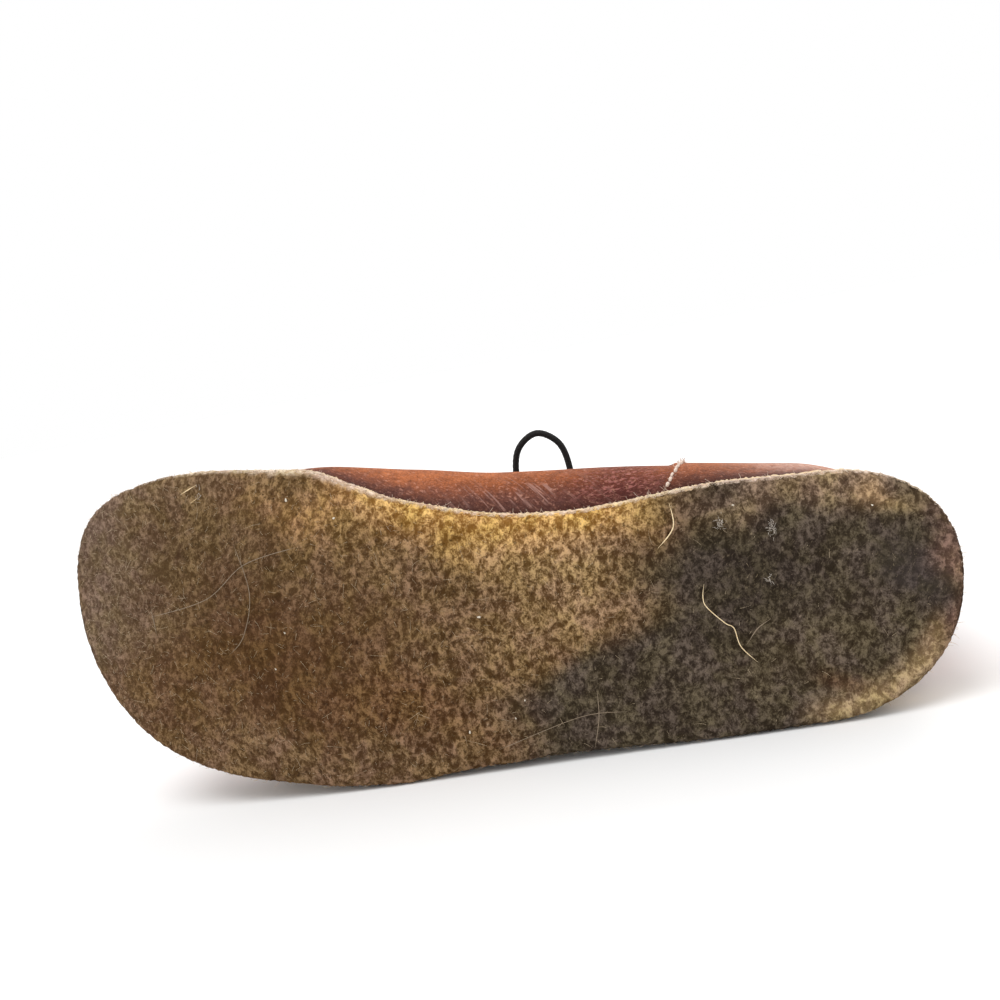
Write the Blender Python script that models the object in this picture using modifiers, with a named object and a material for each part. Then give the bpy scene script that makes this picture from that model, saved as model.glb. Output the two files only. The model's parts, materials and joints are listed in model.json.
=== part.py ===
"""Crepe-soled chukka boot for the right foot, lying on its lateral side as on a floor.

The boot is built upright in a frame of its own, and one empty lays it down at the end:
x runs from the heel to the toe, y towards the medial side and z up from the tread.
The last is a half-breadth worked out for any point of the side view. The upper is a
shell over it, made of sections that fan from the toe over the instep to the collar.
"""

import math
from collections import namedtuple

import bmesh
import bpy
import numpy as np
from mathutils import Matrix, Vector
from mathutils.geometry import interpolate_bezier, intersect_ray_tri

# Driving dimensions, in metres
LENGTH = 0.300
BALL_WIDTH = 0.108
INSTEP_HEIGHT = 0.100
COLLAR_HEIGHT = 0.120
GAP = 0.0003
SHARP_ANGLE = math.radians(32)

# Sole
OUTSOLE_THICKNESS = 0.008
MIDSOLE_FOREFOOT = 0.0045
MIDSOLE_HEEL = 0.0125
MIDSOLE_INSET = 0.0007
TOE_SPRING = 0.014
SPRING_START = 0.64 * LENGTH
EDGE_ROUND = 0.0028
HEEL_WEAR = 0.0032
HEEL_WEAR_REACH = 0.032
HEEL_ROUND = 0.15 * LENGTH
HEEL_POWER = 2.25
TOE_ROUND = 0.25 * LENGTH
TOE_POWER = 2.4
SOLE_STATIONS = 44

# Last and upper
LAST_INSET = 0.005
GIRTH_HEIGHT = 0.045
ANKLE_HEIGHT = 0.110
BACK_ROUND = 0.042
BACK_POWER = 2.1
ARCH_POWER = 2.4
ARCH_ROOT = 2.2
TOE_BOX_ROUND = 0.062
TOE_BOX_POWER = 2.1
VAMP_WALL = 0.0019
QUARTER_WALL = 0.0029
SEAM_STEP = 0.016
ROWS_PER_SECTION = 3
ROUND_ROWS = 7
ROUND_SPREAD = 1.45
SIDE_COLUMNS = 13
THROAT_COLUMNS = 2

# Insole and tongue
INSOLE_THICKNESS = 0.003
INSOLE_DISH = 0.0012
INSOLE_CLEARANCE = 0.0012
TONGUE_WALL = 0.0018
TONGUE_CLEARANCE = 0.0011
TONGUE_HALF_WIDTH = 0.026
TONGUE_TOP_HALF_WIDTH = 0.030
TONGUE_ROWS = 12
TONGUE_COLUMNS = 5

# Lacing
LACE_RADIUS = 0.0014
EYELET_RADIUS = 0.0022
EYELET_SETBACK = 0.0085
EYELET_SECTIONS = (7.0, 10.0)
KNOT_SECTION = 10.35
KNOT_RADII = (0.0046, 0.0058, 0.0036)
TIP_LENGTH = 0.014
TIP_RADIUS = 0.0013

Outline = namedtuple("Outline", "station middle half_width")
Breadth = namedtuple("Breadth", "station medial lateral ankle_medial ankle_lateral ridge")
Ridge = namedtuple("Ridge", "station rise")
Back = namedtuple("Back", "height setback")
Section = namedtuple("Section", "name top bottom_run bow throat")

# Sole outline: stations are shares of the length, the rest shares of the ball width
SOLE_OUTLINE = (
    Outline(0.00, 0.096, 0.367),
    Outline(0.15, 0.047, 0.370),
    Outline(0.25, 0.020, 0.381),
    Outline(0.40, -0.029, 0.367),
    Outline(0.50, -0.047, 0.390),
    Outline(0.60, -0.045, 0.444),
    Outline(0.65, -0.023, 0.475),
    Outline(0.70, 0.001, 0.500),
    Outline(0.78, 0.015, 0.497),
    Outline(0.90, 0.050, 0.497),
    Outline(1.00, 0.126, 0.497),
)

# Sides of the last at girth and ankle height, and its ridge, as shares of the ball width
LAST_BREADTH = (
    Breadth(0.00, 0.350, -0.262, 0.350, -0.270, 0.045),
    Breadth(0.20, 0.396, -0.285, 0.345, -0.275, 0.042),
    Breadth(0.35, 0.419, -0.325, 0.345, -0.285, 0.038),
    Breadth(0.50, 0.435, -0.392, 0.350, -0.300, 0.025),
    Breadth(0.60, 0.475, -0.438, 0.370, -0.350, 0.028),
    Breadth(0.70, 0.502, -0.452, 0.400, -0.400, 0.040),
    Breadth(0.78, 0.486, -0.437, 0.440, -0.420, 0.050),
    Breadth(0.90, 0.500, -0.402, 0.500, -0.402, 0.070),
    Breadth(1.00, 0.576, -0.326, 0.576, -0.326, 0.120),
)

# Top line of the last, from where it would meet the shin down to the toe: its rise over
# the feather edge, as a share of the instep height
LAST_RIDGE = (
    Ridge(0.30, 2.60),
    Ridge(0.36, 1.62),
    Ridge(0.40, 1.25),
    Ridge(0.43, 1.05),
    Ridge(0.48, 0.905),
    Ridge(0.53, 0.790),
    Ridge(0.57, 0.712),
    Ridge(0.64, 0.615),
    Ridge(0.72, 0.520),
    Ridge(0.80, 0.450),
    Ridge(0.87, 0.410),
    Ridge(1.00, 0.370),
)

# Back line of the last: height as a share of the collar height, setback of the length
LAST_BACK = (
    Back(0.17, 0.0220),
    Back(0.30, 0.0135),
    Back(0.42, 0.0120),
    Back(0.60, 0.0205),
    Back(0.80, 0.0400),
    Back(1.00, 0.0570),
    Back(1.15, 0.0650),
)

# Fan of sections: top as a share of the length along the ridge, bottom run in lengths from
# the toe along the feather edge and on up the back line, bow and half throat in metres.
# Sections behind the seam take their bow from the seam's and the collar's
HEEL_RUN = 0.958
SECTIONS = (
    Section("toe", 0.980, 0.000, 0.000, 0.0025),
    Section("toe_cap", 0.947, 0.033, 0.000, 0.0070),
    Section("toe_box", 0.873, 0.107, 0.000, 0.0100),
    Section("ball", 0.773, 0.230, 0.002, 0.0105),
    Section("joint", 0.680, 0.380, 0.010, 0.0105),
    Section("waist", 0.600, 0.537, 0.022, 0.0105),
    Section("seam", 0.533, 0.670, 0.039, 0.0105),
    Section("counter", 0.503, 0.830, 0.000, 0.0110),
    Section("heel", 0.480, HEEL_RUN, 0.000, 0.0115),
    Section("heel_curve", 0.460, 1.060, 0.000, 0.0120),
    Section("ankle", 0.443, 1.175, 0.000, 0.0125),
    Section("collar", 0.430, 1.283, -0.007, 0.0130),
    Section("above", 0.418, 1.315, 0.000, 0.0135),
)
SEAM = 6
HEEL = 8
COLLAR = 11

# Lace routes, as offsets in the floor's frame from the middle of the knot
LOOP_MEDIAL = (
    (0.0015, 0.0012, 0.0062),
    (-0.0035, 0.0020, 0.0145),
    (-0.0090, 0.0022, 0.0250),
    (-0.0115, 0.0015, 0.0365),
    (-0.0085, 0.0005, 0.0485),
    (0.0005, 0.0000, 0.0540),
    (0.0092, 0.0005, 0.0480),
    (0.0115, 0.0015, 0.0360),
    (0.0095, 0.0025, 0.0250),
    (0.0062, 0.0030, 0.0145),
    (0.0050, 0.0030, 0.0062),
)
LOOP_LATERAL = (
    (-0.0015, 0.0015, -0.0062),
    (-0.0045, 0.0045, -0.0130),
    (-0.0090, 0.0070, -0.0220),
    (-0.0095, 0.0085, -0.0310),
    (-0.0020, 0.0090, -0.0370),
    (0.0065, 0.0085, -0.0320),
    (0.0080, 0.0070, -0.0230),
    (0.0050, 0.0045, -0.0130),
    (0.0035, 0.0030, -0.0062),
)
END_TOEWARD = (
    (-0.0062, 0.0015, -0.0020),
    (-0.0120, 0.0060, -0.0080),
    (-0.0180, 0.0100, -0.0200),
    (-0.0215, 0.0130, -0.0320),
    (-0.0240, 0.0160, -0.0400),
    (-0.0310, 0.0210, -0.0429),
    (-0.0430, 0.0250, -0.0432),
    (-0.0560, 0.0240, -0.0432),
    (-0.0680, 0.0190, -0.0432),
)
END_HEELWARD = (
    (0.0062, 0.0020, -0.0020),
    (0.0110, 0.0075, -0.0070),
    (0.0150, 0.0125, -0.0180),
    (0.0170, 0.0160, -0.0300),
    (0.0190, 0.0190, -0.0390),
    (0.0250, 0.0230, -0.0429),
    (0.0370, 0.0260, -0.0432),
    (0.0500, 0.0250, -0.0432),
    (0.0620, 0.0200, -0.0432),
)

COLOURS = {
    "crepe_tread": ((0.20, 0.13, 0.07), 0.85),
    "crepe_edge": ((0.62, 0.47, 0.28), 0.8),
    "brown_leather": ((0.20, 0.075, 0.035), 0.45),
    "tongue_leather": ((0.17, 0.065, 0.032), 0.55),
    "insole_leather": ((0.42, 0.27, 0.15), 0.7),
    "black_lace": ((0.012, 0.011, 0.010), 0.6),
    "lace_tip": ((0.02, 0.018, 0.016), 0.3),
}


def smooth_curve(rows, column, key="station"):
    """A monotone cubic through one column of a table, as a function of its key column."""
    x = np.array([getattr(row, key) for row in rows])
    y = np.array([getattr(row, column) for row in rows])
    step = np.diff(x)
    slope = np.diff(y) / step
    tangent = np.concatenate([slope[:1], np.zeros(len(x) - 2), slope[-1:]])
    for i in range(1, len(x) - 1):
        if slope[i - 1] * slope[i] > 0:
            before, after = 2 * step[i] + step[i - 1], step[i] + 2 * step[i - 1]
            tangent[i] = (before + after) / (before / slope[i - 1] + after / slope[i])

    def value(at):
        at = min(max(at, x[0]), x[-1])
        i = min(int(np.searchsorted(x, at, side="right")) - 1, len(x) - 2)
        t = (at - x[i]) / step[i]
        return float(
            y[i] * (1 + 2 * t) * (1 - t) ** 2
            + tangent[i] * step[i] * t * (1 - t) ** 2
            + y[i + 1] * t * t * (3 - 2 * t)
            - tangent[i + 1] * step[i] * t * t * (1 - t)
        )

    return value


def rounded(share, power, root=None):
    """Falls from 1 to 0 along a superellipse as share goes from 0 to 1."""
    return (1 - min(max(share, 0.0), 1.0) ** power) ** (1 / (root or power))


def eased(share):
    share = min(max(share, 0.0), 1.0)
    return share * share * (3 - 2 * share)


sole_middle = smooth_curve(SOLE_OUTLINE, "middle")
sole_half_width = smooth_curve(SOLE_OUTLINE, "half_width")
girth_line = {1: smooth_curve(LAST_BREADTH, "medial"), -1: smooth_curve(LAST_BREADTH, "lateral")}
ankle_line = {
    1: smooth_curve(LAST_BREADTH, "ankle_medial"),
    -1: smooth_curve(LAST_BREADTH, "ankle_lateral"),
}
ridge_line = smooth_curve(LAST_BREADTH, "ridge")
ridge_rise = smooth_curve(LAST_RIDGE, "rise")
back_setback = smooth_curve(LAST_BACK, "setback", key="height")
NUMBERED_SECTIONS = [
    namedtuple("Numbered", ("number",) + Section._fields)(i, *row) for i, row in enumerate(SECTIONS)
]
section_top = smooth_curve(NUMBERED_SECTIONS, "top", key="number")
section_run = smooth_curve(NUMBERED_SECTIONS, "bottom_run", key="number")
section_bow = smooth_curve(NUMBERED_SECTIONS, "bow", key="number")
section_throat = smooth_curve(NUMBERED_SECTIONS, "throat", key="number")


# Sole functions


def sole_edge(x, side, inset=0.0):
    """y of the sole's outline on one side: 1 is medial, -1 lateral."""
    heel = rounded((HEEL_ROUND - x) / (HEEL_ROUND - inset), HEEL_POWER)
    toe = rounded((x - LENGTH + TOE_ROUND) / (TOE_ROUND - inset), TOE_POWER)
    half = sole_half_width(x / LENGTH) * BALL_WIDTH - inset
    return sole_middle(x / LENGTH) * BALL_WIDTH + side * half * heel * toe


def toe_spring(x):
    return TOE_SPRING * max(0.0, (x - SPRING_START) / (LENGTH - SPRING_START)) ** 2


def tread(x, y):
    """Height of the tread: toe spring, and the corner worn off behind the heel's outer side."""
    outward = sole_middle(0) * BALL_WIDTH - y
    from_corner = x + 0.35 * max(0.0, BALL_WIDTH * sole_half_width(0) - outward)
    return toe_spring(x) + HEEL_WEAR * (1 - eased(from_corner / HEEL_WEAR_REACH))


def outsole_top(x):
    return toe_spring(x) + OUTSOLE_THICKNESS


def midsole_top(x):
    wedge = 1 - eased((x / LENGTH - 0.22) / 0.46)
    return outsole_top(x) + GAP + MIDSOLE_FOREFOOT + (MIDSOLE_HEEL - MIDSOLE_FOREFOOT) * wedge


def seat(x):
    """Height of the feather edge, where the upper sits on the midsole."""
    return midsole_top(x) + GAP


# Last functions


def ridge(x):
    """Height of the last's top line."""
    toe = rounded((x - LENGTH + TOE_BOX_ROUND) / (TOE_BOX_ROUND - LAST_INSET), TOE_BOX_POWER)
    return seat(x) + ridge_rise(x / LENGTH) * INSTEP_HEIGHT * toe


def back(z):
    """x of the last's back line."""
    return back_setback(z / COLLAR_HEIGHT) * LENGTH


def centre(x, z):
    """y of the last's middle: the sole's at the feather edge, the ridge's at the top."""
    share = min(1.0, max(0.0, (z - seat(x)) / (ridge(x) - seat(x) + GAP)))
    low, high = sole_middle(x / LENGTH), ridge_line(x / LENGTH)
    return BALL_WIDTH * (low + (high - low) * share)


def last_side(x, z, side):
    """y of the last's surface at a point of the side view."""
    feather = sole_middle(x / LENGTH) * BALL_WIDTH
    feather += side * (sole_half_width(x / LENGTH) * BALL_WIDTH - LAST_INSET)
    girth = girth_line[side](x / LENGTH) * BALL_WIDTH
    ankle = ankle_line[side](x / LENGTH) * BALL_WIDTH
    if z < GIRTH_HEIGHT:
        swell = max(0.0, (z - seat(x)) / (GIRTH_HEIGHT - seat(x)))
        y = feather + (girth - feather) * math.sin(math.pi / 2 * swell)
    else:
        y = girth + (ankle - girth) * eased((z - GIRTH_HEIGHT) / (ANKLE_HEIGHT - GIRTH_HEIGHT))
    over = rounded((z - seat(x)) / (ridge(x) - seat(x) + 1e-9), ARCH_POWER, ARCH_ROOT)
    behind = rounded(1 - (x - back(z)) / BACK_ROUND, BACK_POWER)
    before = rounded((x - LENGTH + TOE_ROUND) / (TOE_ROUND - LAST_INSET), TOE_POWER)
    middle = centre(x, z)
    return middle + (y - middle) * over * behind * before


def section_ends(number):
    """Both ends of a section in the side view: on the ridge, and on the feather edge or back line."""
    top_x = section_top(number) * LENGTH
    run = section_run(number)
    first_x = section_top(0) * LENGTH
    if run <= HEEL_RUN:
        low_x = first_x - run * LENGTH
        low = Vector((low_x, seat(low_x)))
    else:
        low_z = seat(first_x - HEEL_RUN * LENGTH) + (run - HEEL_RUN) * LENGTH
        low = Vector((back(low_z), low_z))
    return Vector((top_x, ridge(top_x))), low


def bowed(number, share):
    """A point of a section drawn as one bow from end to end."""
    top, low = section_ends(number)
    along = low - top
    across = Vector((along.y, -along.x)).normalized()
    return top + along * share + across * section_bow(number) * 4 * share * (1 - share)


def side_view(number, share):
    """x and z of a section's point. Behind the seam, sections blend from the seam's bow to the collar's."""
    if number <= SEAM:
        return bowed(number, share)
    blend = (number - SEAM) / (COLLAR - SEAM)
    place = bowed(SEAM, share) * (1 - blend) + bowed(COLLAR, share) * blend
    ends = zip(section_ends(number), section_ends(SEAM), section_ends(COLLAR))
    top, low = (end - seam * (1 - blend) - collar * blend for end, seam, collar in ends)
    return place + top * (1 - share) + low * share


def section_point(number, side, share):
    """A point of a section: share runs from the ridge, 0, to the feather edge or back line, 1."""
    x, z = side_view(number, share)
    if share == 0.0 or (share == 1.0 and section_run(number) >= HEEL_RUN):
        return Vector((x, centre(x, z), z))
    return Vector((x, last_side(x, z, side), z))


def share_at_breadth(number, side, breadth):
    """How far down a section its surface is breadth away from the ridge."""
    middle = section_point(number, side, 0.0).y
    low, high = 0.0, 0.6
    for _ in range(24):
        share = (low + high) / 2
        if abs(section_point(number, side, share).y - middle) < breadth:
            low = share
        else:
            high = share
    return (low + high) / 2


def beside_ridge(number, breadth, lift=0.0):
    """A point of the last's surface, breadth from the ridge (medial is positive), lifted along its normal."""

    def at(n, b):
        side = 1 if b >= 0 else -1
        return section_point(n, side, share_at_breadth(n, side, abs(b)))

    step_n, step_b = 0.05, 0.0004
    along = at(number - step_n, breadth) - at(number + step_n, breadth)
    across = at(number, breadth + step_b) - at(number, breadth - step_b)
    return at(number, breadth) + along.cross(across).normalized() * lift


# Building blocks


def clear_scene():
    for obj in list(bpy.data.objects):
        bpy.data.objects.remove(obj)


def material(name):
    colour, roughness = COLOURS[name]
    made = bpy.data.materials.new(name)
    made.use_nodes = True
    shader = made.node_tree.nodes["Principled BSDF"]
    shader.inputs["Base Color"].default_value = (*colour, 1)
    shader.inputs["Roughness"].default_value = roughness
    shader.inputs["Metallic"].default_value = 0.0
    return made


def new_object(name, data, collection, finish):
    obj = bpy.data.objects.new(name, data)
    collection.objects.link(obj)
    if finish:
        data.materials.clear()
        data.materials.append(bpy.data.materials.get(finish) or material(finish))
    return obj


def mesh_from(bm, name):
    mesh = bpy.data.meshes.new(name)
    bm.to_mesh(mesh)
    bm.free()
    mesh.shade_smooth()
    mesh.set_sharp_from_angle(angle=SHARP_ANGLE)
    return mesh


def loft(name, rings, collection, finish):
    """A closed solid through rings of equally many points, with flat ends."""
    bm = bmesh.new()
    grid = [[bm.verts.new(p) for p in ring] for ring in rings]
    for first, second in zip(grid, grid[1:]):
        for i in range(len(first)):
            j = (i + 1) % len(first)
            bm.faces.new((first[i], first[j], second[j], second[i]))
    bm.faces.new(grid[0])
    bm.faces.new(grid[-1])
    bmesh.ops.recalc_face_normals(bm, faces=bm.faces)
    return new_object(name, mesh_from(bm, name), collection, finish)


def evaluated_mesh(obj):
    """The object's mesh with its modifiers, loose caps welded, in its own space."""
    graph = bpy.context.evaluated_depsgraph_get()
    mesh = bpy.data.meshes.new_from_object(obj.evaluated_get(graph))
    bm = bmesh.new()
    bm.from_mesh(mesh)
    bmesh.ops.remove_doubles(bm, verts=bm.verts, dist=1e-6)
    bm.to_mesh(mesh)
    bm.free()
    return mesh


def smooth_path(points, per_span=3):
    """Points along a smooth curve through the route's own points."""
    points = [Vector(p) for p in points]
    tangents = []
    for i in range(len(points)):
        tangents.append((points[min(i + 1, len(points) - 1)] - points[max(i - 1, 0)]) / 6)
    path = [points[0]]
    for i in range(len(points) - 1):
        first, last = points[i], points[i + 1]
        path += interpolate_bezier(
            first, first + tangents[i], last - tangents[i + 1], last, per_span + 1
        )[1:]
    return path


def tube(name, path, radius, collection, finish):
    """A cord along a path, with filled ends."""
    curve = bpy.data.curves.new(name, "CURVE")
    curve.dimensions = "3D"
    curve.bevel_depth = radius
    curve.bevel_resolution = 2
    curve.use_fill_caps = True
    spline = curve.splines.new("POLY")
    spline.points.add(len(path) - 1)
    for point, place in zip(spline.points, path):
        point.co = (*place, 1)
    return new_object(name, curve, collection, finish)


def as_mesh(obj, collection, finish):
    """Makes a curve object a mesh object of the same name and place."""
    name = obj.name
    mesh = evaluated_mesh(obj)
    bpy.data.objects.remove(obj)
    return new_object(name, mesh, collection, finish)


def join(obj, other, cutters):
    """Joins another mesh into an object with a Boolean union."""
    cutters.objects.link(other)
    for owner in list(other.users_collection):
        if owner != cutters:
            owner.objects.unlink(other)
    as_helper(other)
    union = obj.modifiers.new("join_" + other.name, "BOOLEAN")
    union.operation = "UNION"
    union.object = other


def as_helper(obj):
    obj.hide_render = True
    obj.display_type = "WIRE"


# Sole pieces


def sole_stations():
    """Stations close together at the round ends."""
    return [
        LENGTH * (1 - math.cos(math.pi * (i + 0.5) / SOLE_STATIONS)) / 2
        for i in range(SOLE_STATIONS)
    ]


def outsole(collection):
    """The crepe slab: flat from heel to ball, with toe spring and a soft lower edge."""
    rings = []
    for x in sole_stations():
        medial, lateral = sole_edge(x, 1), sole_edge(x, -1)
        soft = min(EDGE_ROUND, 0.2 * (medial - lateral))
        ring = [(x, medial, outsole_top(x))]
        low = [(medial, soft), (medial - 0.3 * soft, 0.3 * soft), (medial - soft, 0)]
        flat = [(lateral + soft + (medial - lateral - 2 * soft) * s, 0) for s in (0.75, 0.5, 0.25)]
        high = [(lateral + soft, 0), (lateral + 0.3 * soft, 0.3 * soft), (lateral, soft)]
        ring += [(x, y, tread(x, y) + rise) for y, rise in low + flat + high]
        ring.append((x, lateral, outsole_top(x)))
        rings.append(ring)
    return loft("outsole", rings, collection, "crepe_tread")


def midsole(collection):
    """The pale crepe wedge between outsole and upper, thick under the heel."""
    rings = []
    for x in sole_stations()[1:-1]:
        medial, lateral = (sole_edge(x, side, MIDSOLE_INSET) for side in (1, -1))
        low, high = outsole_top(x) + GAP, midsole_top(x)
        rings.append(
            [(x, medial, high), (x, medial, low), (x, lateral, low), (x, lateral, high)]
        )
    return loft("midsole", rings, collection, "crepe_edge")


def insole(collection):
    """A thin dished board inside the upper's lower edge."""
    first = back(seat(0)) + 2 * INSOLE_CLEARANCE
    last = section_top(0) * LENGTH - 2 * INSOLE_CLEARANCE
    rings = []
    for i in range(SOLE_STATIONS // 2):
        turn = math.pi * (i + 0.5) / (SOLE_STATIONS // 2)
        x = first + (last - first) * (1 - math.cos(turn)) / 2
        low = seat(x)
        top = low + INSOLE_THICKNESS
        medial = min(last_side(x, z, 1) for z in (low, top))
        lateral = max(last_side(x, z, -1) for z in (low, top))
        middle = (medial + lateral) / 2
        half = (medial - lateral) / 2
        half *= 1 - INSOLE_CLEARANCE / max(half, 2 * INSOLE_CLEARANCE)
        ring = [(x, middle + half, low), (x, middle + half, top)]
        ring += [(x, middle + s * half, top - INSOLE_DISH) for s in (0.6, 0.0, -0.6)]
        ring += [(x, middle - half, top), (x, middle - half, low)]
        rings.append(ring)
    return loft("insole", rings, collection, "insole_leather")


# Upper and tongue


def section_shares(number, side):
    """Where a section's points lie: a few over the throat, then from its edge to the bottom."""
    edge = share_at_breadth(number, side, section_throat(number))
    over = [edge * i / THROAT_COLUMNS for i in range(THROAT_COLUMNS)]
    round_back = eased((number - SEAM) / (HEEL - SEAM))
    down = []
    for i in range(SIDE_COLUMNS + 1):
        turn = math.pi * i / SIDE_COLUMNS
        close_at_top, close_at_both = 1 - math.cos(turn / 2), (1 - math.cos(turn)) / 2
        down.append(close_at_top + (close_at_both - close_at_top) * round_back)
    return over + [edge + (1 - edge) * share for share in down]


def upper_rows():
    """Section numbers from toe to collar, close where toe and heel turn and in a pair at the seam."""
    rows = []
    for span in range(COLLAR):
        count = ROUND_ROWS if span in (0, HEEL - 1) else ROWS_PER_SECTION
        for i in range(count):
            share = i / count
            if span == 0:
                share = share**ROUND_SPREAD
            elif span == HEEL - 1:
                share = 1 - (1 - share) ** ROUND_SPREAD
            rows.append(span + share)
    return sorted(rows + [SEAM + SEAM_STEP, COLLAR])


def last_surface(rows):
    """The last's surface as an open mesh, without the throat, and its vertices behind the seam."""
    bm = bmesh.new()
    grid = []
    quarter = []
    for number in rows:
        row = {}
        for side in (1, -1):
            shares = section_shares(number, side)
            first = 0 if number <= SEAM else THROAT_COLUMNS
            for column in range(first, len(shares)):
                shared = column == 0 or (column == len(shares) - 1 and number >= HEEL)
                if shared and side == -1:
                    row[side, column] = row[1, column]
                    continue
                row[side, column] = bm.verts.new(section_point(number, side, shares[column]))
                if number > SEAM:
                    quarter.append(row[side, column])
        grid.append(row)
    for first, second in zip(grid, grid[1:]):
        for side, column in first:
            corners = [
                cells.get((side, c))
                for cells, c in ((first, column), (first, column + 1), (second, column + 1), (second, column))
            ]
            if None not in corners:
                bm.faces.new(corners if side == 1 else corners[::-1])
    front = grid[0]
    for column in range(SIDE_COLUMNS + THROAT_COLUMNS):
        corners = [front[-1, column], front[-1, column + 1], front[1, column + 1], front[1, column]]
        bm.faces.new(corners[1:] if column == 0 else corners)
    bm.verts.index_update()
    behind = [v.index for v in quarter]
    return bm, behind


def trim_to_seat(mesh):
    """Flattens the lower edge of the wall onto the midsole."""
    for vertex in mesh.vertices:
        vertex.co.z = max(vertex.co.z, seat(vertex.co.x))


def eyelet_cutter(cutters):
    """Four short rods through the eyelets, along the wall's normal."""
    bm = bmesh.new()
    reach = 3 * QUARTER_WALL
    for number in EYELET_SECTIONS:
        for side in (1, -1):
            breadth = side * (section_throat(number) + EYELET_SETBACK)
            low, high = (beside_ridge(number, breadth, lift) for lift in (-reach, 2 * reach))
            turn = (high - low).to_track_quat("Z", "X").to_matrix().to_4x4()
            bmesh.ops.create_cone(
                bm,
                cap_ends=True,
                segments=12,
                radius1=EYELET_RADIUS,
                radius2=EYELET_RADIUS,
                depth=(high - low).length,
                matrix=Matrix.Translation((low + high) / 2) @ turn,
            )
    cutter = new_object("eyelet_cutter", mesh_from(bm, "eyelet_cutter"), cutters, None)
    as_helper(cutter)
    return cutter


def upper(collection, cutters):
    """Vamp and quarters as one hollow wall, open at collar, throat and sole; the quarters stand proud."""
    bm, behind = last_surface(upper_rows())
    shell = new_object("upper_surface", mesh_from(bm, "upper_surface"), cutters, None)
    shell.vertex_groups.new(name="quarter").add(behind, 1.0, "REPLACE")
    wall = shell.modifiers.new("wall", "SOLIDIFY")
    wall.thickness = QUARTER_WALL
    wall.offset = 1
    wall.vertex_group = "quarter"
    wall.thickness_vertex_group = VAMP_WALL / QUARTER_WALL
    mesh = evaluated_mesh(shell)
    bpy.data.objects.remove(shell)
    trim_to_seat(mesh)
    mesh.set_sharp_from_angle(angle=SHARP_ANGLE)
    made = new_object("upper", mesh, collection, "brown_leather")
    holes = made.modifiers.new("eyelets", "BOOLEAN")
    holes.operation = "DIFFERENCE"
    holes.object = eyelet_cutter(cutters)
    return made


def tongue(collection):
    """A curved sheet under the throat, from below the vamp to just over the collar."""
    start, end = SEAM - 0.75, COLLAR + 0.8
    bm = bmesh.new()
    grid = []
    for i in range(TONGUE_ROWS + 1):
        share = i / TONGUE_ROWS
        number = start + (end - start) * share
        half = TONGUE_HALF_WIDTH + (TONGUE_TOP_HALF_WIDTH - TONGUE_HALF_WIDTH) * share
        half *= 1 - 0.25 * max(0.0, share - 0.9) / 0.1
        row = []
        for j in range(-TONGUE_COLUMNS, TONGUE_COLUMNS + 1):
            row.append(bm.verts.new(beside_ridge(number, half * j / TONGUE_COLUMNS)))
        grid.append(row)
    for first, second in zip(grid, grid[1:]):
        for j in range(2 * TONGUE_COLUMNS):
            bm.faces.new((first[j], first[j + 1], second[j + 1], second[j]))
    made = new_object("tongue", mesh_from(bm, "tongue"), collection, "tongue_leather")
    inward = made.modifiers.new("clear_of_upper", "DISPLACE")
    inward.strength = -TONGUE_CLEARANCE
    inward.mid_level = 0.0
    wall = made.modifiers.new("wall", "SOLIDIFY")
    wall.thickness = TONGUE_WALL
    wall.offset = -1
    return made


# Lacing


def lace_bar(collection):
    """The straight lower bar, from eyelet to eyelet over the throat."""
    number = EYELET_SECTIONS[0]
    reach = section_throat(number) + EYELET_SETBACK
    lift = QUARTER_WALL + LACE_RADIUS + 2 * GAP
    path = [beside_ridge(number, -reach + 2 * reach * i / 10, lift) for i in range(11)]
    return tube("lace_bar", path, LACE_RADIUS, collection, "black_lace")


def lace_cross(collection, cutters):
    """The two strands that cross over the tongue, between the quarters' edges."""
    low, high = EYELET_SECTIONS[0] + 0.5, EYELET_SECTIONS[1] - 0.5
    lift = LACE_RADIUS - TONGUE_CLEARANCE + 2 * GAP
    strands = []
    for side in (1, -1):
        path = []
        for i in range(9):
            share = i / 8
            number = low + (high - low) * share
            reach = section_throat(number) - LACE_RADIUS - 2 * GAP
            path.append(beside_ridge(number, side * reach * (1 - 2 * share), lift))
        name = "lace_cross" if side == 1 else "lace_cross_other"
        strand = tube(name, path, LACE_RADIUS, collection, "black_lace")
        strands.append(as_mesh(strand, collection, "black_lace"))
    join(strands[0], strands[1], cutters)
    return strands[0]


def knot_place():
    lift = QUARTER_WALL + KNOT_RADII[2] + 2 * LACE_RADIUS
    return beside_ridge(KNOT_SECTION, 0.0001, lift)


def lace_knot(collection, cutters):
    """The knot, with the two strands that come up to it from the top eyelets."""
    bm = bmesh.new()
    bmesh.ops.create_uvsphere(bm, u_segments=16, v_segments=10, radius=1.0)
    place = knot_place()
    lean = (place - beside_ridge(KNOT_SECTION, 0.0001)).to_track_quat("Z", "Y").to_matrix().to_4x4()
    bmesh.ops.transform(
        bm,
        matrix=Matrix.Translation(place) @ lean @ Matrix.Diagonal((*KNOT_RADII, 1)),
        verts=bm.verts,
    )
    knot = new_object("lace_knot", mesh_from(bm, "lace_knot"), collection, "black_lace")
    number = EYELET_SECTIONS[1]
    reach = section_throat(number) + EYELET_SETBACK
    lift = QUARTER_WALL + LACE_RADIUS + 2 * GAP
    for side, name in ((1, "knot_strand_medial"), (-1, "knot_strand_lateral")):
        path = [beside_ridge(number, side * reach * share, lift) for share in (1.0, 0.75, 0.5)]
        strand = tube(name, smooth_path(path + [place]), LACE_RADIUS, collection, "black_lace")
        join(knot, as_mesh(strand, collection, "black_lace"), cutters)
    return knot


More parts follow.
